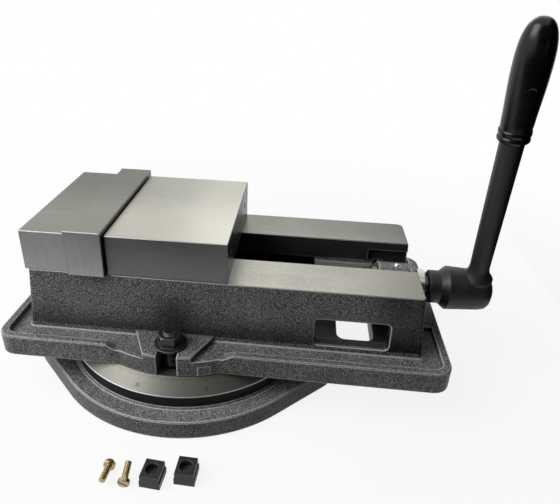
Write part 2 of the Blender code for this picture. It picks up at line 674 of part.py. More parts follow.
def ball(name, radius, paint=None):
    turns = [0.5 * math.pi * i / BALL_STEPS for i in range(BALL_STEPS + 1)]
    profile = [(radius * math.sin(a), radius * math.cos(a)) for a in turns]
    profile[0] = (0.0, radius)
    made = turned(name, profile + [(0.0, 0.0)], paint, 20)
    aim = Matrix.Translation((ball_x, 0.0, BALL_Z)) @ Matrix.Rotation(-math.pi / 2, 4, "Y")
    made.data.transform(aim)
    return made


seat = ball("ball_seat", BALL_RADIUS + GAP)
stop_holes = [rod("stop_hole_%d" % number, STOP_HOLE_RADIUS,
                  (MOVABLE_X[1] - STOP_HOLE_DEPTH, y, JAW_SCREW_Z),
                  (MOVABLE_X[1] + OVERCUT, y, JAW_SCREW_Z), 20)
              for number, y in enumerate(bolt_ys, 1)]
set_hole = rod("set_screw_hole", SET_SCREW_RADIUS + GAP,
               (SET_SCREW_START_X - 2 * GAP, 0, SET_SCREW_Z),
               (MOVABLE_X[1] + OVERCUT, 0, SET_SCREW_Z), 20)
screw_room = rod("screw_room", SCREW_ROOM_RADIUS, (KEEL_X[0] - OVERCUT, 0, SCREW_Z),
                 (KEEL_X[1] + OVERCUT, 0, SCREW_Z), 32)
cut(movable_jaw, seat, *stop_holes, set_hole, screw_room)
shade(movable_jaw)
half_ball = shade(ball("half_ball", BALL_RADIUS, BRIGHT), 40.0)
set_end_x = MOVABLE_X[1] - SET_SCREW_SUNK
set_screw = rod("nut_set_screw", SET_SCREW_RADIUS, (SET_SCREW_START_X, 0, SET_SCREW_Z),
                (set_end_x, 0, SET_SCREW_Z), 20, BLACK_OXIDE)
cut(set_screw, hexagon("set_screw_socket", SET_SCREW_SOCKET,
                       (set_end_x - SET_SCREW_SOCKET_DEPTH, 0, SET_SCREW_Z),
                       (MOVABLE_X[1] + OVERCUT, 0, SET_SCREW_Z)))
shade(set_screw)
jaw_nut = block("jaw_nut", NUT_X, both(NUT_HALF), NUT_Z, BRONZE)
join(jaw_nut, block("nut_wings", NUT_X, both(NUT_WING_HALF),
                    (NUT_WING_BOTTOM_Z, RAIL_UNDER_Z - SLIDE_GAP)))
cut(jaw_nut, rod("nut_bore", SCREW_RADIUS + GAP, (NUT_X[0] - OVERCUT, 0, SCREW_Z),
                 (NUT_X[1] + OVERCUT, 0, SCREW_Z), 32))
shade(jaw_nut)

# Lead screw, thrust bearing, bearing housing, oil plug and collar
screw_profile = ((0.0, SHOULDER_X[1]), (SHOULDER_RADIUS, SHOULDER_X[1]),
                 (SHOULDER_RADIUS, SHOULDER_X[0]), (SCREW_RADIUS, SHOULDER_X[0]),
                 (SCREW_RADIUS, SCREW_START_X + SCREW_CHAMFER),
                 (SCREW_RADIUS - SCREW_CHAMFER, SCREW_START_X),
                 (0.0, SCREW_START_X))
lead_screw = lay_along_x(turned("lead_screw", screw_profile, BRIGHT, 32), SCREW_Z)
join(lead_screw, rod("journal", JOURNAL_RADIUS, (SHOULDER_X[1] - OVERCUT / 2, 0, SCREW_Z),
                     (HUB_START_X - 2 * GAP, 0, SCREW_Z)))
join(lead_screw, hexagon("drive_end", DRIVE_FLATS, (HUB_START_X - OVERCUT, 0, SCREW_Z),
                         (DRIVE_END_X, 0, SCREW_Z)))
shade(lead_screw)


def ring(name, inner, outer, xs, paint, chamfer=EDGE, steps=32):
    profile = ((outer - chamfer, xs[1]), (outer, xs[1] - chamfer), (outer, xs[0] + chamfer),
               (outer - chamfer, xs[0]), (inner, xs[0]), (inner, xs[1]))
    return shade(lay_along_x(turned(name, profile, paint, steps, closed=True), SCREW_Z))


thrust_bearing = ring("thrust_bearing", JOURNAL_RADIUS + GAP, BEARING_RADIUS, BEARING_X, BRIGHT)
thrust_collar = ring("thrust_collar", JOURNAL_RADIUS + GAP, COLLAR_RADIUS, COLLAR_X, BRIGHT,
                     COLLAR_CHAMFER)

housing_half = SEAT_HALF - GAP
nose_way = math.sqrt(HOUSING_NOSE_RADIUS ** 2 - (HOUSING_BLOCK_END_X - HOUSING_NOSE_X) ** 2)
nose_angle = math.atan2(nose_way, HOUSING_BLOCK_END_X - HOUSING_NOSE_X)
housing_plan = arc(HOUSING_NOSE_X, 0.0, HOUSING_NOSE_RADIUS, -nose_angle, nose_angle, 16)
housing_plan += [(HOUSING_BLOCK_END_X, housing_half), (HOUSING_X, housing_half),
                 (HOUSING_X, -housing_half), (HOUSING_BLOCK_END_X, -housing_half)]
housing = loft("bearing_housing",
               [at_height(housing_plan, z) for z in (RIM_Z + GAP, HOUSING_TOP_Z)], HAMMERTONE)
ease(housing, HOUSING_EDGE, 1, 60.0)
shoulders = block("housing_shoulders", (HOUSING_X - OVERCUT, HOUSING_ROUND_END_X),
                  both(SEAT_HALF + OVERCUT), (HOUSING_SHOULDER_Z, HOUSING_TOP_Z + OVERCUT))
cut(shoulders, rod("housing_crown", HOUSING_TOP_Z - SCREW_Z, (HOUSING_X - 2 * OVERCUT, 0, SCREW_Z),
                   (HOUSING_ROUND_END_X + OVERCUT, 0, SCREW_Z), 48))
cut(housing, settled(shoulders))
cut(housing, rod("journal_bore", JOURNAL_RADIUS + GAP, (HOUSING_X - OVERCUT, 0, SCREW_Z),
                 (COLLAR_X[0] + OVERCUT, 0, SCREW_Z)))
cut(housing, rod("plug_hole", PLUG_RADIUS + GAP, (PLUG_X, 0, HOUSING_TOP_Z - PLUG_HOLE_DEPTH),
                 (PLUG_X, 0, HOUSING_TOP_Z + OVERCUT), 20))
shade(housing)
plug_profile = ((0.0, HOUSING_TOP_Z + PLUG_PROUD + PLUG_CROWN),
                (PLUG_RADIUS * 0.7, HOUSING_TOP_Z + PLUG_PROUD),
                (PLUG_RADIUS, HOUSING_TOP_Z), (PLUG_RADIUS, HOUSING_TOP_Z - PLUG_DEPTH),
                (0.0, HOUSING_TOP_Z - PLUG_DEPTH))
oil_plug = turned("oil_plug", plug_profile, BRIGHT, 20)
oil_plug.data.transform(Matrix.Translation((PLUG_X, 0.0, 0.0)))
shade(oil_plug)

# Crank: hub with its hex socket, round arm and moulded grip
hub_nose = [(radius, HUB_END_X - drop) for radius, drop in zip(HUB_NOSE_RADII, HUB_NOSE_DROPS)]
hub_profile = ((0.0, HUB_END_X), *hub_nose, (HUB_TAPER_RADIUS, HUB_TAPER_X),
               (HUB_RADIUS, HUB_X + HUB_CHAMFER), (HUB_RADIUS - EDGE, HUB_X),
               (SLEEVE_RADIUS, SLEEVE_END_X), (SLEEVE_RADIUS, HUB_START_X + HUB_CHAMFER),
               (SLEEVE_RADIUS - HUB_CHAMFER, HUB_START_X), (0.0, HUB_START_X))
crank = lay_along_x(turned("crank", hub_profile, SATIN_BLACK, 40), SCREW_Z)
arm_place = (Matrix.Translation((ARM_X, 0.0, SCREW_Z)) @ Matrix.Rotation(ARM_TURN, 4, "X")
             @ Matrix.Rotation(ARM_LEAN, 4, "Y"))
arm_profile = ((0.0, TANG_LENGTH), (TANG_RADIUS, TANG_LENGTH), (TANG_RADIUS, ARM_LENGTH),
               (ARM_TOP_RADIUS, ARM_LENGTH), (ARM_RADIUS, ARM_FOOT_AT + ARM_FILLET_RISE[1]),
               (ARM_RADIUS + ARM_FILLET, ARM_FOOT_AT + ARM_FILLET_RISE[0]),
               (ARM_FOOT_RADIUS, ARM_FOOT_AT), (ARM_FOOT_RADIUS, ARM_FOOT_START),
               (0.0, ARM_FOOT_START))
arm = turned("arm", arm_profile, steps=32)
arm.data.transform(arm_place)
join(crank, arm)
cut(crank, hexagon("drive_socket", DRIVE_FLATS + 2 * GAP, (HUB_START_X - OVERCUT, 0, SCREW_Z),
                   (HUB_BORE_END_X, 0, SCREW_Z)))
shade(crank)


def grip_radius(share):
    """Below its widest place the grip swells slowly; above it closes in a full dome."""
    if share < GRIP_WIDEST:
        rise = (share - GRIP_FOOT) / (GRIP_WIDEST - GRIP_FOOT)
        swell = math.sin(0.5 * math.pi * rise) ** GRIP_SWELL_POWER
        return GRIP_FOOT_RADIUS + (GRIP_RADIUS - GRIP_FOOT_RADIUS) * swell
    rise = (share - GRIP_WIDEST) / (1.0 - GRIP_WIDEST)
    return GRIP_RADIUS * (1.0 - rise ** GRIP_DOME_POWER) ** (1.0 / GRIP_DOME_POWER)


grip_start = ARM_LENGTH + GAP
grip_profile = [(grip_radius(share), grip_start + share * GRIP_LENGTH)
                for share in (1.0, 0.995, 0.979, 0.950, 0.905, 0.84, 0.74, GRIP_WIDEST, 0.46, 0.31,
                              GRIP_FOOT)]
grip_profile += [(radius, grip_start + share * GRIP_LENGTH)
                 for radius, share in ((GRIP_GROOVE_RADIUS, 0.106), (GRIP_RING_RADIUS, 0.092),
                                       (GRIP_RING_RADIUS, 0.067), (GRIP_GROOVE_RADIUS, 0.048),
                                       (GRIP_RING_RADIUS, 0.029), (GRIP_RING_RADIUS, 0.007),
                                       (GRIP_GROOVE_RADIUS, 0.0), (0.0, 0.0))]
crank_grip = turned("crank_grip", grip_profile, GRIP_PLASTIC, 32)
cut(crank_grip, rod("grip_bore", TANG_RADIUS + GAP, (0, 0, grip_start - OVERCUT),
                    (0, 0, TANG_LENGTH + GAP), 32))
settled(crank_grip)
crank_grip.data.transform(arm_place)
shade(crank_grip, 35.0)

# Clamp bolts and flange nuts, each made round the Z axis and then moved to its side
corner = NUT_FLATS / math.sqrt(3.0)
head_top = RING_LEDGE_Z - GAP
shank_foot = head_top - BOLT_HEAD_HEIGHT / 2
shank_profile = ((0.0, BOLT_TOP_Z), (BOLT_RADIUS - BOLT_CHAMFER, BOLT_TOP_Z),
                 (BOLT_RADIUS, BOLT_TOP_Z - BOLT_CHAMFER), (BOLT_RADIUS, shank_foot),
                 (0.0, shank_foot))
seat_z = RIM_Z + GAP
flange_profile = ((0.0, seat_z + NUT_FLANGE + NUT_CONE + LAP / 2),
                  (NUT_FLATS / 2, seat_z + NUT_FLANGE + NUT_CONE),
                  (NUT_FLANGE_RADIUS, seat_z + NUT_FLANGE),
                  (NUT_FLANGE_RADIUS, seat_z), (0.0, seat_z))
dome_profile = ((0.0, NUT_TOP_Z + LAP), (NUT_FLATS / 2 - LAP, NUT_TOP_Z + LAP),
                (corner + GAP, NUT_TOP_Z - NUT_CHAMFER), (corner + GAP, seat_z - LAP),
                (0.0, seat_z - LAP))
for side, word in ((-1, "front"), (1, "back")):
    bolt = block("clamp_bolt_" + word, both(BOLT_HEAD / 2), both(BOLT_HEAD / 2),
                 (head_top - BOLT_HEAD_HEIGHT, head_top), BLACK_OXIDE)
    join(bolt, turned("clamp_shank_" + word, shank_profile, steps=32))
    nut = turned("clamp_nut_" + word, flange_profile, BLACK_OXIDE, 40)
    tall = hexagon("clamp_hex_" + word, NUT_FLATS, (0, 0, seat_z + LAP), (0, 0, NUT_TOP_Z),
                   turn=math.radians(30.0))
    boolean(tall, turned("clamp_dome_" + word, dome_profile, steps=36), "INTERSECT")
    join(nut, tall)
    cut(nut, rod("clamp_bore_" + word, BOLT_RADIUS + GAP, (0, 0, seat_z - OVERCUT),
                 (0, 0, NUT_TOP_Z + OVERCUT), 32))
    for piece in (bolt, nut):
        settled(piece)
        piece.data.transform(Matrix.Translation((0.0, side * RING_RADIUS, 0.0)))
        shade(piece)

# Loose table keys and their slotted screws, lying in front of the base
for number, (x, y, turn) in enumerate(KEY_PLACES, 1):
    key = block("table_key_%d" % number, both(KEY_STEP_WIDTH / 2), both(KEY_LENGTH / 2),
                (0.0, KEY_HEIGHT), KEY_BLACK)
    for side in (-1, 1):
        edge = sorted((side * KEY_WIDTH / 2, side * KEY_STEP_WIDTH))
        cut(key, block("key_step_%d_%d" % (number, side), edge, both(KEY_LENGTH),
                       (KEY_STEP_Z, KEY_HEIGHT + OVERCUT)))
    cut(key, rod("key_bore_%d" % number, KEY_BORE_RADIUS, (0, 0, -OVERCUT),
                 (0, 0, KEY_HEIGHT + OVERCUT), 20))
    cut(key, rod("key_sink_%d" % number, KEY_SINK_RADIUS, (0, 0, KEY_HEIGHT - KEY_SINK_DEPTH),
                 (0, 0, KEY_HEIGHT + OVERCUT), 28))
    settled(key)
    place = Matrix.Translation((x, y, 0.0)) @ Matrix.Rotation(math.radians(turn), 4, "Z")
    key.data.transform(place)
    shade(key)

lean = math.asin((KEY_SCREW_HEAD_RADIUS - KEY_SCREW_RADIUS) / KEY_SCREW_LENGTH)
for number, (x, y, turn) in enumerate(KEY_SCREW_PLACES, 1):
    profile = ((0.0, KEY_SCREW_HEAD), (KEY_SCREW_HEAD_RADIUS - KEY_SCREW_EDGE, KEY_SCREW_HEAD),
               (KEY_SCREW_HEAD_RADIUS, KEY_SCREW_HEAD - KEY_SCREW_EDGE),
               (KEY_SCREW_HEAD_RADIUS, 0.0), (KEY_SCREW_RADIUS, 0.0),
               (KEY_SCREW_RADIUS, -KEY_SCREW_LENGTH + KEY_SCREW_EDGE),
               (KEY_SCREW_RADIUS - KEY_SCREW_EDGE, -KEY_SCREW_LENGTH), (0.0, -KEY_SCREW_LENGTH))
    screw = turned("key_screw_%d" % number, profile, ZINC, 28)
    cut(screw, block("screw_slot_%d" % number, both(KEY_SCREW_SLOT / 2), both(OVERCUT),
                     (KEY_SCREW_HEAD - KEY_SCREW_SLOT_DEPTH, KEY_SCREW_HEAD + OVERCUT)))
    settled(screw)
    roll = Matrix.Rotation(KEY_SCREW_ROLL, 4, "Z")
    tip_down = Matrix.Rotation(math.pi / 2 + lean, 4, "Y")
    face = Matrix.Rotation(math.radians(turn + 180.0), 4, "Z")
    screw.data.transform(face @ tip_down @ roll)
    low = min(vertex.co.z for vertex in screw.data.vertices)
    screw.data.transform(Matrix.Translation((x, y, -low)))
    shade(screw)


# Joint axes as empties
def axis_empty(name, place, holder=None):
    made = bpy.data.objects.new(name, None)
    parts.objects.link(made)
    made.empty_display_size = 3 * OVERCUT
    made.location = place
    if holder:
        made.parent = holder
        made.location = Vector(place) - Vector(axis_places[holder.name])
    axis_places[name] = place
    return made


def seat_on(empty, *names):
    for name in names:
        piece = bpy.data.objects[name]
        piece.parent = empty
        piece.location = -Vector(axis_places[empty.name])


axis_places = {}
swivel_axis = axis_empty("swivel_axis", (0.0, 0.0, BED_BOTTOM_Z))
jaw_axis = axis_empty("jaw_slide_axis", (MOVABLE_X[0], 0.0, RAIL_TOP_Z), swivel_axis)
screw_axis = axis_empty("screw_axis", (SHOULDER_X[1], 0.0, SCREW_Z), swivel_axis)
crank_axis = axis_empty("crank_slide_axis", (HUB_START_X, 0.0, SCREW_Z), screw_axis)
nut_axes = [axis_empty("clamp_axis_" + word, (0.0, side * RING_RADIUS, RIM_Z), swivel_axis)
            for side, word in ((-1, "front"), (1, "back"))]
seat_on(swivel_axis, "vise_bed", "fixed_jaw_block", "fixed_jaw_plate", "fixed_jaw_key",
        "fixed_jaw_screw_1", "fixed_jaw_screw_2", "bearing_housing", "oil_plug",
        "thrust_bearing", "clamp_bolt_front", "clamp_bolt_back")
seat_on(jaw_axis, "movable_jaw", "jaw_nut", "half_ball", "nut_set_screw")
seat_on(screw_axis, "lead_screw", "thrust_collar")
seat_on(crank_axis, "crank", "crank_grip")
seat_on(nut_axes[0], "clamp_nut_front")
seat_on(nut_axes[1], "clamp_nut_back")
bpy.context.view_layer.update()
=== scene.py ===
# %% [markdown]
# # A swivel machine vise
#
# The real thing is a heavy cast-iron vise for a milling machine. A round base bolts to the
# machine's table, and the bed turns on it against a ring of degree marks. The bed carries a
# fixed jaw and a sliding one, and a crank turns the screw that moves the sliding jaw.
#
# The castings, jaws, screw and crank come ready made as solid parts, in metres, with the
# middle of the base at the origin, the crank towards +X and the front towards -Y. This file
# gives them their paint and their ground, turned and blackened steel, and adds what is too
# fine for the solids: screw threads, engraved numbers and the moulded grip.

# %% Load the solid parts
import math

import bpy
import numpy as np
from mathutils import Matrix


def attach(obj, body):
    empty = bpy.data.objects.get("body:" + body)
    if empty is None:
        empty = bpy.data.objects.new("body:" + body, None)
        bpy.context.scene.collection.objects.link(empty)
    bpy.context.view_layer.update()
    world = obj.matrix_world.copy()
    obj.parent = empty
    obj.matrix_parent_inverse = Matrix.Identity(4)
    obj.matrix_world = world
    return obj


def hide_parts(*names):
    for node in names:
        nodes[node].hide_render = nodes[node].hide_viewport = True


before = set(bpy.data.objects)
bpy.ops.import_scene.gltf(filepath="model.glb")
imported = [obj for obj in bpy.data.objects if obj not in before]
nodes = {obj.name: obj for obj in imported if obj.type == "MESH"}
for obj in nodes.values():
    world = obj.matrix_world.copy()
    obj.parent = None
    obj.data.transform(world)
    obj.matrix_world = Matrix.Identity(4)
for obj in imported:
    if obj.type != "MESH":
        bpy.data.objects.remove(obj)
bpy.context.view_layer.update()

# %% [markdown]
# ## Smooth round surfaces
#
# The solids come as loose flat triangles, so a round hub would show its facets in the steel.
# A real one was turned. A small modifier joins the triangles where they meet, drops the flat
# directions that they came with and shades them smooth. It keeps every corner sharper than
# thirty degrees, so no solid changes its shape.

# %% Join and smooth
CREASE = math.radians(30.0)
JOIN = 0.000002


def smoothing():
    """A node group: merge by distance, shade faces smooth, keep the edges past the crease."""
    group = bpy.data.node_groups.new("smooth_to_crease", "GeometryNodeTree")
    for way in ("INPUT", "OUTPUT"):
        group.interface.new_socket("Geometry", in_out=way, socket_type="NodeSocketGeometry")
    new = group.nodes.new
    merge = new("GeometryNodeMergeByDistance")
    merge.inputs["Distance"].default_value = JOIN
    unflatten = new("GeometryNodeRemoveAttribute")
    unflatten.inputs["Name"].default_value = "custom_normal"
    faces = new("GeometryNodeSetShadeSmooth")
    edges = new("GeometryNodeSetShadeSmooth")
    edges.domain = "EDGE"
    gentle = new("FunctionNodeCompare")
    gentle.operation = "LESS_THAN"
    gentle.inputs[1].default_value = CREASE
    chain = (new("NodeGroupInput"), merge, unflatten, faces, edges, new("NodeGroupOutput"))
    for first, second in zip(chain, chain[1:]):
        group.links.new(first.outputs[0], second.inputs[0])
    group.links.new(new("GeometryNodeInputMeshEdgeAngle").outputs[0], gentle.inputs[0])
    group.links.new(gentle.outputs[0], edges.inputs["Shade Smooth"])
    return group


SMOOTH = smoothing()
for node in nodes.values():
    node.modifiers.new("smooth", "NODES").node_group = SMOOTH
print(len(nodes), "solids shaded smooth between edges of", round(math.degrees(CREASE)), "degrees")

# %% [markdown]
# ## The camera
#
# The photograph was taken from the front, a little to the right and well above the vise, from
# about 60 cm away. Close up like that, the near corner of the bed looks much larger than the
# far one, so the distance matters as much as the angle. The three rows below are the
# directions that point right, down and forwards in the picture.

# %% Camera
PICTURE = (560, 504)
FOCAL_PIXELS = 525.402
CENTRE_PIXELS = (251.803, 231.775)
EYE = (0.11081, -0.47566, 0.38195)
RIGHT = (0.99374208, 0.10950901, 0.02201037)
DOWN = (0.06901976, -0.44707092, -0.89183175)
FORWARD = (-0.08782342, 0.88776988, -0.45183147)
SENSOR = 36.0

lens = bpy.data.cameras.new("camera")
lens.sensor_fit = "HORIZONTAL"
lens.sensor_width = SENSOR
lens.lens = FOCAL_PIXELS / PICTURE[0] * SENSOR
lens.shift_x = (PICTURE[0] / 2 - CENTRE_PIXELS[0]) / PICTURE[0]
lens.shift_y = (CENTRE_PIXELS[1] - PICTURE[1] / 2) / PICTURE[0]
lens.clip_start = 0.01
camera = bpy.data.objects.new("camera", lens)
turned = np.array([RIGHT, [-d for d in DOWN], [-d for d in FORWARD]]).T
camera.matrix_world = Matrix.Translation(EYE) @ Matrix(turned.tolist()).to_4x4()
bpy.context.scene.collection.objects.link(camera)
bpy.context.scene.camera = camera
print("camera at", EYE, "with a lens of", round(lens.lens, 2), "mm")

# %% [markdown]
# ## Reckoning with shader nodes
#
# A finish is a small graph of nodes. Drawing the graph by hand hides the sum it does, so one
# little class wraps a socket: writing `1 - mask` or `a * b` on it adds the Math node for that
# sum. A second class holds a material, with one method that makes every other node.

# %% The two helpers
class Wire:
    """A socket of a finish. Each operator adds the Math node that does the sum."""

    def __init__(self, finish, socket):
        self.finish = finish
        self.socket = socket

    def math(self, operation, first, second=0.0):
        return self.finish.node("ShaderNodeMath", {"operation": operation}, {0: first, 1: second})

    def __add__(self, other):
        return self.math("ADD", self, other)

    def __radd__(self, other):
        return self.math("ADD", other, self)

    def __sub__(self, other):
        return self.math("SUBTRACT", self, other)

    def __rsub__(self, other):
        return self.math("SUBTRACT", other, self)

    def __mul__(self, other):
        return self.math("MULTIPLY", self, other)

    def __rmul__(self, other):
        return self.math("MULTIPLY", other, self)

    def __truediv__(self, other):
        return self.math("DIVIDE", self, other)

    def __gt__(self, other):
        return self.math("GREATER_THAN", self, other)

    def __lt__(self, other):
        return self.math("LESS_THAN", self, other)

    def __abs__(self):
        return self.math("ABSOLUTE", self)

    def root(self):
        return self.math("SQRT", self)

    def larger(self, other):
        return self.math("MAXIMUM", self, other)


class Finish:
    """One material. Even values go on the shader's own sockets, and patterns are wired."""

    def __init__(self, name, **even):
        self.material = bpy.data.materials.new(name)
        self.material.use_nodes = True
        self.tree = self.material.node_tree
        self.tree.nodes.clear()
        self.shader = self.tree.nodes.new("ShaderNodeBsdfPrincipled")
        output = self.tree.nodes.new("ShaderNodeOutputMaterial")
        self.tree.links.new(self.shader.outputs[0], output.inputs["Surface"])
        for key, value in even.items():
            self.feed(self.shader.inputs[key.replace("_", " ")], value)

    def feed(self, socket, value):
        if isinstance(value, Wire):
            self.tree.links.new(value.socket, socket)
        elif socket.type == "RGBA" and len(value) == 3:
            socket.default_value = (*value, 1.0)
        else:
            socket.default_value = value

    def node(self, kind, settings=None, inputs=None, out=0):
        made = self.tree.nodes.new(kind)
        for key, value in (settings or {}).items():
            setattr(made, key, value)
        for key, value in (inputs or {}).items():
            self.feed(made.inputs[key], value)
        return Wire(self, made.outputs[out])

    def paint(self, **wires):
        for key, value in wires.items():
            self.feed(self.shader.inputs[key.replace("_", " ")], value)
        return self.material

    def place(self):
        """Where a point is, in the part's own metres, and its x, y and z apart."""
        spot = self.node("ShaderNodeTexCoord", out="Object")
        return spot, *self.apart(spot)

    def facing(self):
        """How far the surface looks along x, y and z, whichever way it looks."""
        look = self.node("ShaderNodeTexCoord", out="Normal")
        return [abs(part) for part in self.apart(look)]

    def apart(self, vector):
        split = self.node("ShaderNodeSeparateXYZ", inputs={0: vector})
        outputs = split.socket.node.outputs
        return [Wire(self, outputs[i]) for i in range(3)]

    def stretched(self, vector, scale):
        return self.node("ShaderNodeVectorMath", {"operation": "MULTIPLY"}, {0: vector, 1: scale})

    def noise(self, vector, scale, detail=2.0, roughness=0.5):
        return self.node("ShaderNodeTexNoise", inputs={
            "Vector": vector, "Scale": scale, "Detail": detail, "Roughness": roughness})

    def ramp(self, value, low, high, at_low=0.0, at_high=1.0):
        """A smooth step from at_low, where value is low, to at_high, where it is high."""
        return self.node("ShaderNodeMapRange", {"interpolation_type": "SMOOTHSTEP"},
                         {"Value": value, "From Min": low, "From Max": high,
                          "To Min": at_low, "To Max": at_high})

    def mix(self, share, first, second):
        """The first colour where share is 0 and the second where it is 1."""
        return self.node("ShaderNodeMix", {"data_type": "RGBA"}, {0: share, 6: first, 7: second},
                         out=2)

    def scaled(self, colour, level):
        return self.node("ShaderNodeVectorMath", {"operation": "SCALE"},
                         {0: colour, "Scale": level})

    def bump(self, height, depth, normal=None):
        inputs = {"Height": height, "Distance": depth, "Strength": 1.0}
        if normal:
            inputs["Normal"] = normal
        return self.node("ShaderNodeBump", inputs=inputs)


def grey(level, warmth=0.0):
    """A grey of that brightness; a positive warmth yellows it, a negative one blues it."""
    return (level * (1 + warmth), level, level * (1 - warmth))


def steel(level):
    """The slightly yellow grey of ground steel under its film of oil."""
    return (level * 1.02, level, level * 0.87)


print("two helpers ready:", Wire.__name__, "and", Finish.__name__)

# %% [markdown]
# ## The studio
#
# The photograph shows the vise cut out on pure white. Here it stands on a pale floor that keeps
# a soft shadow and fades to plain white with distance. The world is white where the camera or
# a polished face looks at it, and grey where it lights the paint. One broad lamp hangs above
# the left front and a weak one behind. Two dark cards, as photographers use, stand in front and
# to the right: steel and gloss paint need something dark to mirror, or they look like chalk.
# For the same reason two dark mats lie on the floor, in front of the picture and to its right.

# %% Floor
FLOOR_SIZE = 6.0
FLOOR_Z = -0.0002
FLOOR_FADE = (0.30, 0.95)
FLOOR_GLOW = 0.87
FLOOR_GREY = 0.92


def sheet(name, width, height):
    """A flat rectangle round the origin that faces along +Z."""
    mesh = bpy.data.meshes.new(name)
    x, y = width / 2, height / 2
    mesh.from_pydata([(-x, -y, 0), (x, -y, 0), (x, y, 0), (-x, y, 0)], [], [(0, 1, 2, 3)])
    made = bpy.data.objects.new(name, mesh)
    bpy.context.scene.collection.objects.link(made)
    return made


floor = sheet("floor", FLOOR_SIZE, FLOOR_SIZE)
floor.location.z = FLOOR_Z
chalk = Finish("floor_white", Base_Color=grey(FLOOR_GREY), Roughness=0.9, Specular_IOR_Level=0.1)
_, floor_x, floor_y, _ = chalk.place()
reach = (floor_x * floor_x + floor_y * floor_y).root()
seen = chalk.node("ShaderNodeLightPath", out="Is Camera Ray")
mirrored = chalk.node("ShaderNodeLightPath", out="Is Glossy Ray")
white = chalk.node("ShaderNodeEmission", inputs={"Color": grey(1.0), "Strength": 1.0})
share = (seen + mirrored) * chalk.ramp(reach, *FLOOR_FADE, FLOOR_GLOW, 1.0)
both = chalk.node("ShaderNodeMixShader", inputs={0: share, 2: white})
surface_out = chalk.tree.nodes["Material Output"].inputs["Surface"]
chalk.tree.links.new(chalk.shader.outputs[0], both.socket.node.inputs[1])
chalk.tree.links.new(both.socket, surface_out)
floor.data.materials.append(chalk.material)
print("floor of", FLOOR_SIZE, "m, plain white from", FLOOR_FADE[1], "m out")

# %% Dark cards and mats
CARD_GREY = 0.02
CARDS = (("front_card", (0.30, -1.60, 0.70), (2.10, 2.10)),
         ("right_card", (1.15, -0.15, 0.50), (1.90, 1.50)))
MATS = (("front_mat", (0.55, -1.02, 0.0004), (2.50, 1.40)),
        ("right_mat", (1.10, 0.25, 0.0004), (1.30, 1.14)))


def face_home(thing, axis):
    """Turns a card's front or a lamp's beam, which looks along that axis, to the origin."""
    thing.rotation_euler = (-thing.location).to_track_quat(axis, "Y").to_euler()


felt = Finish("black_felt", Base_Color=grey(CARD_GREY), Roughness=1.0, Specular_IOR_Level=0.0)
for name, spot, (width, height) in CARDS:
    card = sheet(name, width, height)
    card.location = spot
    face_home(card, "Z")
    card.visible_camera = False
    card.data.materials.append(felt.material)
for name, spot, (width, height) in MATS:
    mat = sheet(name, width, height)
    mat.location = spot
    mat.visible_camera = False
    mat.visible_shadow = False
    mat.data.materials.append(felt.material)
print(len(CARDS), "dark cards and", len(MATS), "dark mats, unseen by the camera")

# %% World and lamps
WORLD_GREY = 0.36
LAMPS = (("key_lamp", (-1.00, -0.55, 1.05), 1.10, 21.0),
         ("back_lamp", (0.10, 1.30, 1.00), 0.80, 3.0))

world = bpy.data.worlds.new("studio")
bpy.context.scene.world = world
world.use_nodes = True
links = world.node_tree.links
sky = world.node_tree.nodes["Background"]
sky.inputs["Color"].default_value = (1.0, 1.0, 1.0, 1.0)
path = world.node_tree.nodes.new("ShaderNodeLightPath")
either = world.node_tree.nodes.new("ShaderNodeMath")
either.operation = "ADD"
level = world.node_tree.nodes.new("ShaderNodeMapRange")
level.inputs["To Min"].default_value = WORLD_GREY
level.inputs["To Max"].default_value = 1.0
for word, socket in (("Is Camera Ray", either.inputs[0]), ("Is Glossy Ray", either.inputs[1])):
    links.new(path.outputs[word], socket)
links.new(either.outputs[0], level.inputs["Value"])
links.new(level.outputs[0], sky.inputs["Strength"])

for name, spot, size, power in LAMPS:
    lamp = bpy.data.lights.new(name, "AREA")
    lamp.size = size
    lamp.energy = power
    holder = bpy.data.objects.new(name, lamp)
    holder.location = spot
    face_home(holder, "-Z")
    holder.visible_camera = False
    bpy.context.scene.collection.objects.link(holder)

bpy.context.scene.view_settings.view_transform = "Standard"
print(len(LAMPS), "lamps, world grey", WORLD_GREY)

# %% [markdown]
# ## Hammered enamel
#
# The castings wear a dark grey enamel that pulls into tiny light and dark cells as it dries.
# It could be a picture of paint, but a picture has an edge and a scale of its own. Two sizes of
# noise, in real millimetres, give the cells their light and dark centres, and the same noise
# drives a shallow bump so that each cell catches the lamp. Every edge is painted lighter, partly
# as paint rubbed thin and partly as a painted highlight: the edges are found by rounding the
# surface's direction a little and asking where that turned it. Hollow corners get painted shade.

# %% Enamel
CELL = 1150.0
FINE_CELL = 2300.0
CELL_SHARE = 0.6
CELL_STEP = (0.41, 0.70)
PATCH = 22.0
PATCH_SWING = 0.08
ENAMEL_DARK = 0.011
ENAMEL_LIGHT = 0.29
ENAMEL_SHINE = 0.22
ENAMEL_ROUGH = 0.40
ENAMEL_DEPTH = 0.00018


def enamel(finish, spot, tone):
    """Colour and height of hammered enamel: two noises added, then steepened."""
    cells = finish.noise(spot, CELL, 1.0, 0.45)
    grains = finish.noise(spot, FINE_CELL, 1.0, 0.5)
    patches = finish.noise(spot, PATCH, 2.0, 0.5)
    height = cells * CELL_SHARE + grains * (1 - CELL_SHARE)
    share = finish.ramp(height + (patches - 0.5) * PATCH_SWING, *CELL_STEP)
    colour = finish.mix(share, grey(ENAMEL_DARK * tone), grey(ENAMEL_LIGHT * tone, 0.01))
    return colour, height


print("enamel cells about", round(1000 / CELL, 1), "mm wide")

# %% Edges and hollow corners
EDGE_REACH = 0.0020
EDGE_TURN = (0.90, 0.996)
HOLLOW_REACH = 0.0045


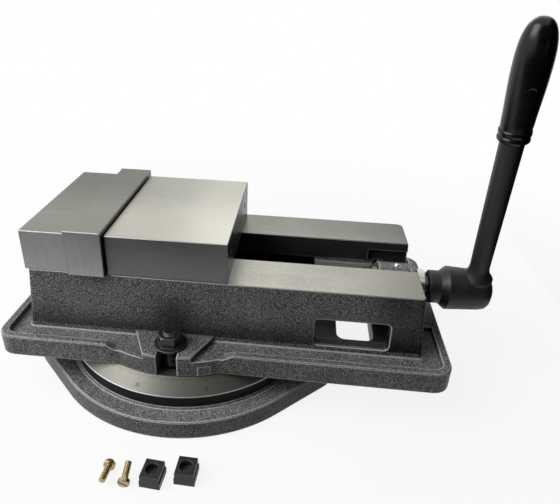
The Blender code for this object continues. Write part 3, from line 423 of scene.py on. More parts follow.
def crevice(finish):
    """1 in the open and less in a hollow corner, from how much of the near room is free."""
    return finish.node("ShaderNodeAmbientOcclusion", {"samples": 4, "only_local": True},
                       {"Distance": HOLLOW_REACH}, out="AO")


def rounded(finish, reach=EDGE_REACH):
    """The surface's direction with its edges rounded off, and 1 where that turned it most."""
    soft = finish.node("ShaderNodeBevel", {"samples": 6}, {"Radius": reach})
    true = finish.node("ShaderNodeNewGeometry", out="Normal")
    agree = finish.node("ShaderNodeVectorMath", {"operation": "DOT_PRODUCT"}, {0: soft, 1: true},
                        out=1)
    return soft, finish.ramp(agree, *EDGE_TURN, 1.0, 0.0)


# Edges get rubbed paint and a painted highlight; hollow corners get painted shade.
print("edges rubbed within", EDGE_REACH, "m, hollow corners dark within", HOLLOW_REACH, "m")

# %% [markdown]
# ## Ground steel
#
# The jaws and rail tops are surface ground: the wheel leaves fine straight scratches, all one
# way on a face. A noise stretched a hundred times along one axis gives such lines. Each face
# was ground in its own pass, so the lines' direction follows the way that the face looks. The
# grey of each face, and the chamfers' darker grey, follow it too: that is painted light and
# shade, as is the darkening of the tops towards the back and, on some parts, along x. Faint
# stains and a fine speckle of oil lie over the lines.

# %% Grinding lines
LINE_PACK = 1400.0
LINE_REACH = 14.0
LINE_DEPTH = 0.00004
SPECKLE = 750.0
ACROSS = (-0.05, 0.06)


def grinding(finish, spot, axis):
    """Lines that run along an axis, 0 for x, 1 for y and 2 for z: a noise pulled out that way."""
    scale = [LINE_PACK] * 3
    scale[axis] = LINE_REACH
    fine = finish.noise(finish.stretched(spot, tuple(scale)), 1.0, 3.0, 0.6)
    scale = [LINE_PACK / 5] * 3
    scale[axis] = LINE_REACH / 3
    broad = finish.noise(finish.stretched(spot, tuple(scale)), 1.0, 2.0, 0.5)
    return fine * 0.6 + broad * 0.4


def uneven(patterns, swings):
    """A level near 1: 1 plus the sum of each pattern's distance from a half times its swing."""
    level = 1.0
    for pattern, swing in zip(patterns, swings):
        level = level + (pattern - 0.5) * swing
    return level


def dress(material, *names):
    """The solid parts of these names wear this material and no other."""
    for name in names:
        worn = nodes[name].data.materials
        worn.clear()
        worn.append(material)


print("grinding lines about", round(1000 / LINE_PACK, 1), "mm apart")

# %% The two jaws
X, Y, Z = range(3)
FACES_ALONG = (0.6, 0.8)
CHAMFER_LEAN = (1.15, 1.35)
# Chamfers get a darker grey of their own: painted shade that dims their reflection.
CHAMFER_SHADE_GREY = 0.20
JAW_STAIN = 16.0
JAW_SWINGS = (0.34, 0.36, 0.40)
JAW_ROUGH = (0.3, 0.7, 0.30, 0.40)
GROUND_METAL = 0.85


def ground(name, lit_greys, line_axes, x_shade, back_shade):
    """A ground block: top, front and sides each have a grey and an axis that the lines follow.

    The greys by facing are painted light and shade. The top's grey also changes per metre
    along x by the fourth argument and darkens towards the back by the fifth: painted shade.
    """
    finish = Finish(name, Metallic=GROUND_METAL)
    spot, x, y, _ = finish.place()
    across, along, up = finish.facing()
    looks_up = finish.ramp(up, *FACES_ALONG)
    looks_front = finish.ramp(along, *FACES_ALONG)
    top_lines, front_lines, side_lines = (grinding(finish, spot, axis) for axis in line_axes)
    lines = (top_lines * looks_up + front_lines * looks_front
             + side_lines * (1 - looks_up) * (1 - looks_front))
    stain = finish.noise(spot, JAW_STAIN, 3.0, 0.5)
    speckle = finish.noise(spot, SPECKLE, 1.0, 0.5)
    # Painted shade on the top: a change along x and a darkening towards the back.
    level = uneven((lines, stain, speckle), JAW_SWINGS) + x * x_shade * looks_up
    level = level * (1 - looks_up * finish.ramp(y, *ACROSS, 0.0, back_shade))
    # Painted light and shade: the top, the front and the sides each get their own grey.
    top, front, side = lit_greys
    base = finish.mix(looks_front, grey(side, 0.005), grey(front))
    base = finish.mix(looks_up, base, steel(top))
    # Painted shade: the chamfers get a darker grey.
    chamfer = finish.ramp(abs(across) + abs(along) + abs(up), *CHAMFER_LEAN)
    base = finish.mix(chamfer, base, grey(CHAMFER_SHADE_GREY, 0.02))
    return finish.paint(Base_Color=finish.scaled(base, level),
                        Roughness=finish.ramp(stain, *JAW_ROUGH),
                        Normal=finish.bump(lines, LINE_DEPTH))


# Greys for top, front and side of each jaw: painted light and shade.
dress(ground("fixed_jaw_ground_steel", (0.250, 0.36, 0.10), (X, Z, Y), 0.0, 0.40),
      "fixed_jaw_block", "fixed_jaw_plate")
dress(ground("movable_jaw_ground_steel", (0.46, 0.165, 0.055), (X, X, Z), -1.5, 0.32),
      "movable_jaw")
print("jaws ground")

# %% [markdown]
# ## The bed: enamel outside, machined on top
#
# The bed is one casting, enamelled all over and then machined where something slides on it or
# bolts to it: the rail tops, the slot between them and the seat of the screw's bearing. One
# material does both, with masks worked out from where each point is. Painted shade darkens the
# paint low on the walls, towards the right end, behind the clamp nuts, in hollow corners and in
# the room under the rails, and flat faces are painted lighter. A thin painted highlight runs
# along the fillet at the walls' foot.

# %% Where the bed's faces are
RAIL_TOP = 0.1234
RAIL_UNDER = 0.1000
SLOT_HALF = 0.0288
SLOT_START_X = -0.0705
SEAT_X = 0.1868
SEAT_HALF = 0.0331
BODY_END_X = 0.2274
BODY_SIDE = 0.0900
RECESS_Z = 0.0612
RIM_Z = 0.0664
HOLLOW_X = 0.0395
HOLLOW_HALF = 0.1660
HOLLOW_SIDE = 0.0773
FILLET_Z = 0.0624
FILLET_X = 0.0440
FILLET_HALF = 0.1922
FILLET_SIDE = 0.0852
SKIN = 0.0004


def machined(x, y, z):
    """1 on the rail tops, and 1 on the walls of the slot and of the bearing's seat."""
    top = (z > RAIL_TOP - SKIN) * (abs(y) < BODY_SIDE)
    in_slot = (abs(y) < SLOT_HALF) * (z > RAIL_UNDER - SKIN) * (x > SLOT_START_X)
    in_seat = (abs(y) < SEAT_HALF) * (z > RIM_Z - SKIN) * (x > SEAT_X) * (x < BODY_END_X)
    return top, in_slot.larger(in_seat) * (1 - top)


def hollow(x, y, z):
    """1 in the room under the rails."""
    return ((abs(y) < HOLLOW_SIDE) * (abs(x - HOLLOW_X) < HOLLOW_HALF)
            * (z > RECESS_Z - SKIN) * (z < RAIL_UNDER))


print("rail tops at", RAIL_TOP * 1000, "mm")

# %% Paint of the bed
LIES_FLAT = (0.5, 0.95)
# Flat faces are painted lighter than the walls: painted light from above.
TOP_LIGHT = (1.0, 1.45)
# Painted shade in hollow corners, from the ambient occlusion.
BED_CORNER_SHADE = (0.45, 0.90, 0.50, 1.0)
BED_FREE = (0.70, 0.90)
# Painted shade: darker low on the walls, at the right end and in a patch behind each nut.
FOOT_SHADE = (0.0630, 0.0980, 0.38, 1.08)
END_SHADE = (0.170, 0.208, 1.0, 0.40)
NUT_SHADOW_Z = 0.0880
NUT_SHADOW_TALL = 1.6
NUT_SHADOW = (0.0050, 0.0340, 0.36, 1.0)
# Up-facing faces and the flange below the rim are spared the painted shade.
SHADE_SPARED = (0.2, 0.6)
# Painted shade in the room under the rails.
INSIDE_DARK = 0.8
# A painted highlight along the fillet at the walls' foot.
FILLET_HIGHLIGHT = (0.0002, 0.0008, 0.30, 0.0)
# Grey of the lightened edges and of the fillet's line: rubbed paint and painted highlight.
EDGE_WEAR_AND_HIGHLIGHT_GREY = 0.72
EDGE_SHARE = 0.90


def cast_paint(finish, tone):
    """Enamel with painted light on flat faces and painted shade low on the walls and elsewhere.

    The painted shade also darkens the right end, hollow corners, the room under the rails and a
    patch behind each nut: a ramp of the distance, root of (x x + 1.6 dz dz), from a point behind
    the nut. The edges are lightened as rubbed paint and as a painted highlight.
    """
    spot, x, y, z = finish.place()
    up = finish.facing()[Z]
    soft, edge = rounded(finish)
    free = crevice(finish)
    inside = hollow(x, y, z)
    # The room under the rails is darkened: painted shade.
    lit = 1 - inside * INSIDE_DARK
    colour, height = enamel(finish, spot, tone)
    # Painted light: flat faces lighter than the walls.
    colour = finish.scaled(colour, finish.ramp(up, *LIES_FLAT, *TOP_LIGHT))
    # Painted shade low on the walls, at the right end and behind each nut; flat faces are spared.
    reach = (x * x + (z - NUT_SHADOW_Z) * (z - NUT_SHADOW_Z) * NUT_SHADOW_TALL).root()
    shade = finish.ramp(z, *FOOT_SHADE) * finish.ramp(x, *END_SHADE)
    shade = shade * finish.ramp(reach, *NUT_SHADOW)
    spared = (z < RIM_Z).larger(finish.ramp(up, *SHADE_SPARED))
    colour = finish.scaled(colour, shade.larger(spared) * lit)
    # Hollow corners are darkened: painted shade.
    colour = finish.scaled(colour, finish.ramp(free, *BED_CORNER_SHADE))
    # Open edges are lightened: rubbed paint and painted highlight.
    edge = edge * finish.ramp(free, *BED_FREE) * lit
    colour = finish.mix(edge * EDGE_SHARE, colour, grey(EDGE_WEAR_AND_HIGHLIGHT_GREY))
    # A thin painted highlight along the fillet at the walls' foot.
    line = (finish.ramp(abs(z - FILLET_Z), *FILLET_HIGHLIGHT) * (abs(y) < FILLET_SIDE)
            * (abs(x - FILLET_X) < FILLET_HALF) * (1 - inside))
    return finish.mix(line, colour, grey(EDGE_WEAR_AND_HIGHLIGHT_GREY)), height, soft, edge


housing = Finish("hammered_enamel", Specular_IOR_Level=ENAMEL_SHINE, Roughness=ENAMEL_ROUGH)
colour, height, soft, _ = cast_paint(housing, 1.05)
dress(housing.paint(Base_Color=colour, Normal=housing.bump(height, ENAMEL_DEPTH, soft)),
      "bearing_housing")
print("bearing housing enamelled")

# %% Bed finish
RAIL_GREY = 0.29
RAIL_ROUGH = 0.36
# Painted shade on the rail tops: darker towards the back and towards the right.
BACK_RAIL_SHADE = (*ACROSS, 1.0, 0.50)
RAIL_SHADE_ALONG_X = (0.06, 0.22, 1.02, 0.76)
RAIL_STAIN = 20.0
RAIL_SWINGS = (0.4, 0.5, 0.5)
SLOT_GREY = 0.048

bed = Finish("hammered_enamel_and_ground_rails", Specular_IOR_Level=ENAMEL_SHINE)
colour, height, soft, edge = cast_paint(bed, 1.0)
spot, x, y, z = bed.place()
top, wall = machined(x, y, z)
metal = top.larger(wall)
lines = grinding(bed, spot, X)
stain = bed.noise(spot, RAIL_STAIN, 3.0, 0.5)
speckle = bed.noise(spot, SPECKLE, 1.0, 0.5)
level = uneven((lines, stain, speckle), RAIL_SWINGS)
# Painted shade on the rails: darker towards the back and towards the right.
level = level * bed.ramp(y, *BACK_RAIL_SHADE) * bed.ramp(x, *RAIL_SHADE_ALONG_X)
bright = bed.scaled(bed.mix(wall, steel(RAIL_GREY), grey(SLOT_GREY)), level)
# The slot walls' edges are lightened too: rubbed metal and painted highlight.
bright = bed.mix(edge * wall * EDGE_SHARE, bright, grey(EDGE_WEAR_AND_HIGHLIGHT_GREY))
dress(bed.paint(
    Base_Color=bed.mix(metal, colour, bright),
    Metallic=top * GROUND_METAL,
    Roughness=bed.ramp(metal, 0.0, 1.0, ENAMEL_ROUGH, RAIL_ROUGH),
    Normal=bed.bump(height * (1 - metal), ENAMEL_DEPTH,
                    bed.bump(lines * metal, LINE_DEPTH, soft))), "vise_bed")
print("bed enamelled, rails ground")

# %% [markdown]
# ## The swivel base and its degree marks
#
# The base is enamelled too, but its drum was turned on a lathe: a smooth bevel faces the
# reader and carries a mark for each degree, longer at 5 and longest at 10. Marks this fine are
# cut by a machine at exact angles, so the shader works them out from the angle round the
# middle: how far each point is from the nearest whole degree.

# %% Degree marks
DRUM_RADIUS = 0.1282
DRUM_FOOT_Z = 0.0200
BEVEL_TOP_RADIUS = 0.1157
BEVEL_FOOT_Z = 0.0311
DRUM_TOP_Z = 0.0443
SLOPE = math.atan2(DRUM_TOP_Z - BEVEL_FOOT_Z, DRUM_RADIUS - BEVEL_TOP_RADIUS)
MARK_WIDTH = 0.00042
MARKS = ((1.0, 0.0040), (5.0, 0.0052), (10.0, 0.0066))
ZERO_MARK = -72.5
TWO_TURNS = 720.0


def degree_marks(x, y, z, radius):
    """1 on a mark: near a whole multiple of its step round the drum, and high on the bevel."""
    degrees = x.math("ARCTAN2", y, x) * (180 / math.pi) - ZERO_MARK
    down_slope = (DRUM_TOP_Z - z) / math.sin(SLOPE)
    marks = 0.0
    for step, length in MARKS:
        away = x.math("PINGPONG", degrees + TWO_TURNS, step / 2) * radius * math.radians(1.0)
        marks = ((away < MARK_WIDTH / 2) * (down_slope < length)).larger(marks)
    return marks * (radius > BEVEL_TOP_RADIUS - SKIN)


print("marks every", [step for step, _ in MARKS], "degrees")

# %% Base finish
BASE_TONE = 0.95
# Painted light: flat faces of the base are lighter.
BASE_TOP_LIGHT = (0.85, 1.9)
# Painted shade in hollow corners of the base.
BASE_CORNER_SHADE = (0.45, 0.80, 0.50, 1.0)
BASE_FREE = (0.50, 0.80)
# Grey of the base's lightened edges: rubbed paint and painted highlight.
BASE_EDGE_WEAR_AND_HIGHLIGHT_GREY = 0.95
BEVEL_GREY = 0.165
BEVEL_STAIN = 24.0
BEVEL_SWINGS = (0.4, 0.3)
BEVEL_METAL = 0.8
BEVEL_ROUGH = 0.44
DRUM_GREY = 0.011
DRUM_ROUGH = 0.42
# A thin painted highlight along the foot of the bevel: its height and its grey.
BEVEL_FOOT_HIGHLIGHT = 0.0005
BEVEL_FOOT_HIGHLIGHT_GREY = 0.60
INK_GREY = 0.03
INK_SHARE = 0.8
RING_PACK = 1300.0
RING_DEPTH = 0.00003

base = Finish("base_enamel_and_turned_bevel", Specular_IOR_Level=ENAMEL_SHINE)
spot, x, y, z = base.place()
radius = (x * x + y * y).root()
soft, edge = rounded(base)
free = crevice(base)
colour, height = enamel(base, spot, BASE_TONE)
# Painted light: flat faces lighter than the walls.
colour = base.scaled(colour, base.ramp(base.facing()[Z], *LIES_FLAT, *BASE_TOP_LIGHT))
# Hollow corners are darkened: painted shade.
colour = base.scaled(colour, base.ramp(free, *BASE_CORNER_SHADE))
# Open edges are lightened: rubbed paint and painted highlight.
colour = base.mix(edge * base.ramp(free, *BASE_FREE), colour, grey(BASE_EDGE_WEAR_AND_HIGHLIGHT_GREY, 0.03))
drum = (radius < DRUM_RADIUS + SKIN) * (z > DRUM_FOOT_Z)
bevel = drum * (z > BEVEL_FOOT_Z - SKIN)
turning = base.node("ShaderNodeCombineXYZ", inputs={0: radius, 1: z})
rings = base.noise(turning, RING_PACK, 2.0, 0.6)
stain = base.noise(spot, BEVEL_STAIN, 3.0, 0.5)
bright = base.scaled(steel(BEVEL_GREY), uneven((rings, stain), BEVEL_SWINGS))
# A thin painted highlight along the foot of the bevel.
bright = base.mix(z < BEVEL_FOOT_Z + BEVEL_FOOT_HIGHLIGHT, bright, grey(BEVEL_FOOT_HIGHLIGHT_GREY))
skin = base.mix(drum, colour, base.scaled(grey(DRUM_GREY), rings * 0.8 + 0.6))
skin = base.mix(bevel, skin, bright)
skin = base.mix(degree_marks(x, y, z, radius) * bevel * INK_SHARE, skin, grey(INK_GREY))
dress(base.paint(
    Base_Color=skin,
    Metallic=bevel * BEVEL_METAL,
    Roughness=base.ramp(bevel, 0.0, 1.0, DRUM_ROUGH, BEVEL_ROUGH),
    Normal=base.bump(height * (1 - drum), ENAMEL_DEPTH,
                     base.bump(rings * drum, RING_DEPTH, soft))), "swivel_base")
print("base enamelled, bevel turned and marked")

# %% [markdown]
# ## Small steel parts, blackened steel, paint and plastic
#
# The other finishes are simpler: turned steel, oily screw steel, blackened nuts and keys with a
# slightly uneven oxide that is rubbed off their edges, satin paint on the crank, glossy moulded
# plastic on the grip, and yellow zinc on the two loose screws. They share one recipe: a colour
# broken up by a noise, a roughness that follows it, and a fine bump. The lighter edges of the
# nuts, keys and crank are partly that wear and partly a painted highlight.

# %% One recipe for plain finishes
CLOUD = 60.0
ROUGH_SWING = 0.15
WORN_REACH = 0.0009
# How far edges go to their lighter grey: rubbed wear and painted highlight.
EDGE_WEAR_AND_HIGHLIGHT_SHARE = 0.8


def plain(name, base, spread, rough, grain, depth, metallic=0.0, worn=None, **even):
    """A noise darkens and lightens the colour by spread; edges get wear and a painted highlight.
    """
    finish = Finish(name, Metallic=metallic, **even)
    spot = finish.place()[0]
    cloud = finish.noise(spot, CLOUD, 3.0, 0.55)
    fine = finish.noise(spot, grain, 2.0, 0.5)
    level = (cloud * 0.6 + fine * 0.4 - 0.5) * (2 * spread) + 1.0
    colour, soft = finish.scaled(base, level), None
    # Given a grey, edges are lightened to it: rubbed wear and a painted highlight.
    if worn:
        soft, edge = rounded(finish, WORN_REACH)
        colour = finish.mix(edge * EDGE_WEAR_AND_HIGHLIGHT_SHARE, colour, grey(worn))
    return finish.paint(Base_Color=colour, Normal=finish.bump(fine, depth, soft),
                        Roughness=finish.ramp(cloud, 0.3, 0.7, rough * (1 - ROUGH_SWING),
                                              rough * (1 + ROUGH_SWING)))


TURNED = plain("turned_steel", grey(0.55, 0.05), 0.25, 0.30, 900.0, 0.00002, 0.9)
OILED = plain("oiled_screw_steel", grey(0.13, 0.05), 0.35, 0.34, 900.0, 0.00002, 0.9)
NUT_IRON = plain("nut_iron", grey(0.10, 0.03), 0.3, 0.5, 700.0, 0.00005, 0.5)
# The last number of the blackened, key and satin rows is their edge grey: wear and painted
# highlight.
OXIDE = plain("blackened_steel", grey(0.014), 0.5, 0.28, 1100.0, 0.00003, 0.25, 0.22,
              Specular_IOR_Level=0.6)
KEY_STEEL = plain("blackened_key_steel", grey(0.026), 0.4, 0.42, 1000.0, 0.00004, 0.2, 0.12,
                  Specular_IOR_Level=0.35)
ZINC = plain("yellow_zinc", (0.46, 0.37, 0.20), 0.2, 0.30, 900.0, 0.00002, 0.9)
SATIN = plain("satin_black_paint", grey(0.013), 0.35, 0.50, 1400.0, 0.00003, 0.0, 0.06,
              Specular_IOR_Level=0.42)
GRIP = plain("moulded_black_plastic", grey(0.0035), 0.3, 0.25, 500.0, 0.00001,
             Specular_IOR_Level=0.35)
NUMBER_INK = plain("number_ink", grey(0.012), 0.2, 0.6, 900.0, 0.00001, Specular_IOR_Level=0.2)

WEARS = (
    (TURNED, ("pivot_pin", "half_ball", "thrust_collar", "oil_plug")),
    (OILED, ("lead_screw", "thrust_bearing")),
    (NUT_IRON, ("jaw_nut",)),
    (OXIDE, ("nut_set_screw", "fixed_jaw_key", "fixed_jaw_screw_1", "fixed_jaw_screw_2",
             "clamp_bolt_front", "clamp_bolt_back", "clamp_nut_front", "clamp_nut_back")),
    (KEY_STEEL, ("table_key_1", "table_key_2")),
    (ZINC, ("key_screw_1", "key_screw_2")),
    (SATIN, ("crank",)),
    (GRIP, ("crank_grip",)),
)
for material, names in WEARS:
    dress(material, *names)
print(sum(len(names) for _, names in WEARS), "small parts finished")

# %% [markdown]
# ## Surfaces from formulas
#
# Screw threads, the moulded grip and the numbers are surfaces that a formula describes well: a
# grid of points, worked out all at once, whose columns go round the piece and whose rows go
# along it. One function turns such grids into a closed skin, and makes sure it faces outwards.

# %% Skins
def shell(grid):
    """The points and faces of a closed skin: rows joined by quads, each end by a fan."""
    rows, columns = grid.shape[:2]
    number = np.arange(rows * columns).reshape(rows, columns)
    after = np.roll(number, -1, axis=1)
    quads = np.stack([number[:-1], after[:-1], after[1:], number[1:]], axis=-1).reshape(-1, 4)
    middle = np.full(columns, rows * columns)
    first = np.stack([after[0], number[0], middle], axis=-1)
    last = np.stack([number[-1], after[-1], middle + 1], axis=-1)
    return np.vstack([grid.reshape(-1, 3), grid[[0, -1]].mean(axis=1)]), [quads, first, last]


def volume(points, groups):
    """Six times the room inside: the sum over the triangles of corner . (corner x corner)."""
    total = 0.0
    for faces in groups:
        for k in range(1, faces.shape[1] - 1):
            a, b, c = points[faces[:, 0]], points[faces[:, k]], points[faces[:, k + 1]]
            total += np.einsum("ij,ij->", a, np.cross(b, c))
    return total


def piece(name, grids, material, body, crease=35.0):
    """One object made of a closed skin for each grid, riding on a body."""
    points, faces, used = [], [], 0
    for grid in grids:
        spots, groups = shell(grid)
        order = slice(None) if volume(spots, groups) > 0 else slice(None, None, -1)
        faces += [row[order] for group in groups for row in (group + used).tolist()]
        points.append(spots)
        used += len(spots)
    mesh = bpy.data.meshes.new(name)
    mesh.from_pydata(np.vstack(points).tolist(), [], faces)
    mesh.shade_smooth()
    mesh.set_sharp_from_angle(angle=math.radians(crease))
    made = bpy.data.objects.new(name, mesh)
    bpy.context.scene.collection.objects.link(made)
    mesh.materials.append(material)
    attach(made, body)
    print(name, "has", len(faces), "faces")
    return made


def around(radii, heights, turns):
    """Radii, one per height or per height and turn, as a grid of points round the z axis."""
    shape = (len(heights), len(turns))
    radii = np.broadcast_to(np.asarray(radii).reshape(len(heights), -1), shape)
    heights = np.broadcast_to(np.asarray(heights)[:, None], shape)
    return np.stack([radii * np.cos(turns), radii * np.sin(turns), heights], axis=-1)


def placed(grid, matrix):
    """The grid moved by a 4 x 4 matrix."""
    matrix = np.array(matrix)
    return grid @ matrix[:3, :3].T + matrix[:3, 3]


def full_turn(columns):
    """Angles at even steps, once round."""
    return np.arange(columns) / columns * 2 * np.pi


print("skins ready")

# %% [markdown]
# ## Threads
#
# A thread is a radius that falls and rises once in every pitch along the axis, and the place
# where it falls moves along as you go round. So the radius needs only one number: the distance
# along, plus the share of a turn times the pitch. The same formula serves every screw here,
# with its own pitch, depth and hand.

# %% Thread formula
ROOT_END = 0.37
CREST_START = 0.63


def thread(height, turn, pitch, hand):
    """0 on a crest and 1 in a root: a trapezoid wave of height / pitch - hand * turn / 2 pi."""
    phase = (height / pitch - hand * turn / (2 * np.pi)) % 1.0
    from_root = np.abs(phase - 0.5) * 2
    return np.clip((CREST_START - from_root) / (CREST_START - ROOT_END), 0.0, 1.0)


def threaded(heights, radii, turns, pitch, depth, start, end, hand=1):
    """Radii with a thread cut in between start and end, running out over half a pitch."""
    heights = np.asarray(heights)[:, None]
    run_in = np.clip((heights - start) / pitch * 2, 0, 1)
    run_out = np.clip((end - heights) / pitch * 2, 0, 1)
    cut = depth * run_in * run_out * thread(heights, turns[None, :], pitch, hand)
    return np.asarray(radii).reshape(len(heights), -1) - cut


def plain_rows(radii, turns):
    """Rows of a turned surface, one for each radius, the same all the way round."""
    return np.repeat(np.reshape(radii, (-1, 1)), len(turns), axis=1)


def polygon(apothem, sides, turns):
    """The radius of a regular polygon in each direction, with a corner at the first turn."""
    part = 2 * np.pi / sides
    return apothem / np.cos(turns % part - part / 2)


print("thread flanks take", round(CREST_START - ROOT_END, 2), "of half a pitch")

# %% [markdown]
# ## The lead screw
#
# The screw that moves the jaw has a left-hand trapezoidal thread, so that turning the crank
# clockwise pulls the jaw shut. Then come a shoulder that takes the thrust, a round journal and
# a hexagon for the crank. A thread wound round a ready bar would leave its ends to be mended,
# so the whole screw is one turned skin from its nose to the hexagon.

# %% Lead screw
SCREW_Z = 0.0915
SCREW_RADIUS = 0.0120
SCREW_PITCH = 0.005
SCREW_DEPTH = 0.0025
SCREW_CUT = (-0.0530, 0.1785)
LEFT_HAND = -1
ALONG_X = Matrix(((0, 0, 1, 0), (1, 0, 0, 0), (0, 1, 0, SCREW_Z), (0, 0, 0, 1)))
NOSE = np.array(((-0.0550, 0.0095), (-0.0540, 0.0105)))
TAIL = np.array(((0.1796, 0.0120), (0.1800, 0.0122), (0.1802, 0.0150), (0.1807, 0.0155),
                 (0.1872, 0.0155), (0.1877, 0.0150), (0.1877, 0.0102), (0.1879, 0.0100),
                 (0.2454, 0.0100), (0.2456, 0.0098)))
DRIVE = np.array(((0.2456, 0.0070), (0.2732, 0.0070), (0.2740, 0.0063)))

turns = full_turn(48)
cut_x = np.linspace(-0.0528, 0.1790, 580)
bar = threaded(cut_x, np.full(cut_x.shape, SCREW_RADIUS), turns, SCREW_PITCH, SCREW_DEPTH,
               *SCREW_CUT, LEFT_HAND)
radii = np.vstack([plain_rows(NOSE[:, 1], turns), bar, plain_rows(TAIL[:, 1], turns),
                   polygon(DRIVE[:, 1:], 6, turns[None, :])])
along = np.concatenate([NOSE[:, 0], cut_x, TAIL[:, 0], DRIVE[:, 0]])
grid = placed(around(radii, along, turns), ALONG_X)
screw = piece("lead_screw_thread", [grid], OILED, "screw")
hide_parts("lead_screw")

# %% [markdown]
# ## Clamp bolts
#
# Each bolt has a square head that slides in the ring slot of the base and a round shank with an
# M14 thread. The head is the same turned skin, but its radius follows a square with rounded
# corners. Only the top of the thread shows, standing out of the nut.

# %% Clamp bolts
RING_RADIUS = 0.0965
BOLT_RADIUS = 0.0070
BOLT_PITCH = 0.002
BOLT_DEPTH = 0.0011
BOLT_CUT = (0.0445, 0.0830)
BOLT_TIP = np.array(((0.0814, 0.0064), (0.0820, 0.0056)))
HEAD_HALF = 0.0110
HEAD_CORNER = 0.0143
HEAD = np.array(((0.0227, 0.95), (0.0233, 1.0), (0.0311, 1.0), (0.0317, 0.95)))

turns = full_turn(48)
square = np.minimum(polygon(HEAD_HALF, 4, turns + np.pi / 4), HEAD_CORNER)
shank = np.concatenate([[0.0317, 0.0322], np.linspace(0.0440, 0.0806, 110)])
screwed = threaded(shank, np.full(shank.shape, BOLT_RADIUS), turns, BOLT_PITCH, BOLT_DEPTH,
                   *BOLT_CUT)
radii = np.vstack([HEAD[:, 1:] * square, screwed, plain_rows(BOLT_TIP[:, 1], turns)])
heights = np.concatenate([HEAD[:, 0], shank, BOLT_TIP[:, 0]])
for word, side in (("front", -1), ("back", 1)):
    grid = around(radii, heights, turns) + np.array([0.0, side * RING_RADIUS, 0.0])
    bolt = piece("clamp_bolt_thread_" + word, [grid], OXIDE, "bed")
    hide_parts("clamp_bolt_" + word)

# %% [markdown]
# ## The two loose screws
#
# They hold the keys under the base and lie in front of it. The head is a short cylinder with a
# slot sawn across: two half discs on top of a whole one leave the slot between them, which
# keeps its walls upright.

# %% Key screws
HEAD_RADIUS = 0.0050
HEAD_HEIGHT = 0.0038
SLOT_WIDTH = 0.0013
SLOT_DEPTH = 0.0016
SHANK_RADIUS = 0.0028
SHANK_LENGTH = 0.0160
KEY_PITCH = 0.0010
KEY_DEPTH = 0.00045
KEY_CUT = (-0.0162, -0.0030)
KEY_CHAMFER = 0.0005
PLACES = ((-0.0333, -0.1858, -90.0), (-0.0163, -0.1970, 94.0))
SLOT_TURN = math.radians(-38)
LEAN = math.asin((HEAD_RADIUS - SHANK_RADIUS) / SHANK_LENGTH)


def half_disc(side):
    """The outline of a disc beyond half a slot, drawn once round, at four heights."""
    reach = math.acos(SLOT_WIDTH / 2 / HEAD_RADIUS)
    angle = np.linspace(-reach, reach, 25)
    layers = ((0.0, 0.0), (SLOT_DEPTH - 0.0005, 0.0), (SLOT_DEPTH - 0.0001, 0.0003),
              (SLOT_DEPTH, 0.0005))
    rows = [np.stack([side * np.maximum((HEAD_RADIUS - inset) * np.cos(angle), SLOT_WIDTH / 2),
                      (HEAD_RADIUS - inset) * np.sin(angle),
                      np.full(angle.shape, HEAD_HEIGHT - SLOT_DEPTH + z)], axis=-1)
            for z, inset in layers]
    return np.stack(rows)


turns = full_turn(36)
shank = np.concatenate([[-SHANK_LENGTH, -SHANK_LENGTH + KEY_CHAMFER],
                        np.linspace(-0.0154, -0.0010, 150)])
radii = np.full(shank.shape, SHANK_RADIUS)
radii[0] -= KEY_CHAMFER
bar = threaded(shank, radii, turns, KEY_PITCH, KEY_DEPTH, *KEY_CUT)
top = np.array(((-0.0002, SHANK_RADIUS), (0.0, HEAD_RADIUS - 0.0003), (0.0003, HEAD_RADIUS),
                (HEAD_HEIGHT - SLOT_DEPTH, HEAD_RADIUS)))
radii = np.vstack([bar, plain_rows(top[:, 1], turns)])
heights = np.concatenate([shank, top[:, 0]])
whole = [around(radii, heights, turns), half_disc(1), half_disc(-1)]
for number, (x, y, turn) in enumerate(PLACES, 1):
    aim = (Matrix.Rotation(math.radians(turn + 180), 4, "Z")
           @ Matrix.Rotation(math.pi / 2 + LEAN, 4, "Y") @ Matrix.Rotation(SLOT_TURN, 4, "Z"))
    grids = [placed(grid, aim) for grid in whole]
    low = min(grid[..., 2].min() for grid in grids)
    grids = [grid + np.array([x, y, -low]) for grid in grids]
    loose = piece("key_screw_thread_%d" % number, grids, ZINC, "base")
    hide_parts("key_screw_%d" % number)

# %% [markdown]
# ## The grip
#
# The grip is moulded in glossy plastic: a slow swell, a full dome and two collar rings at its
# foot. Its front carries a shallow round mark left by the mould's plug. The radius comes from
# two curves that meet at the widest place, and the mark pushes the surface in.

# %% Grip
GRIP_START = 0.1670
GRIP_LENGTH = 0.0985
WIDEST = 0.616
FOOT = 0.164
FOOT_RADIUS = 0.0130
WIDE_RADIUS = 0.0146
SWELL_POWER = 1.5
DOME_POWER = 2.6
RINGS = np.array(((0.106, 0.0125), (0.100, 0.0131), (0.092, 0.0134), (0.067, 0.0134),
                  (0.056, 0.0130), (0.048, 0.0125), (0.040, 0.0130), (0.029, 0.0134),
                  (0.010, 0.0134), (0.0, 0.0128)))
MARK_TURN = math.radians(-90.0)
MARK_HEIGHT = 0.455
MARK_RADIUS = 0.0041
MARK_DEPTH = 0.00060
MARK_EDGE = 0.0008
LIP_RADIUS = MARK_RADIUS * 0.55
LIP_WIDTH = 0.0006
LIP_SHARE = 0.5
ARM_PLACE = (Matrix.Translation((0.2932, 0.0, SCREW_Z))
             @ Matrix.Rotation(math.radians(8.6), 4, "X")
             @ Matrix.Rotation(math.radians(-2.9), 4, "Y"))


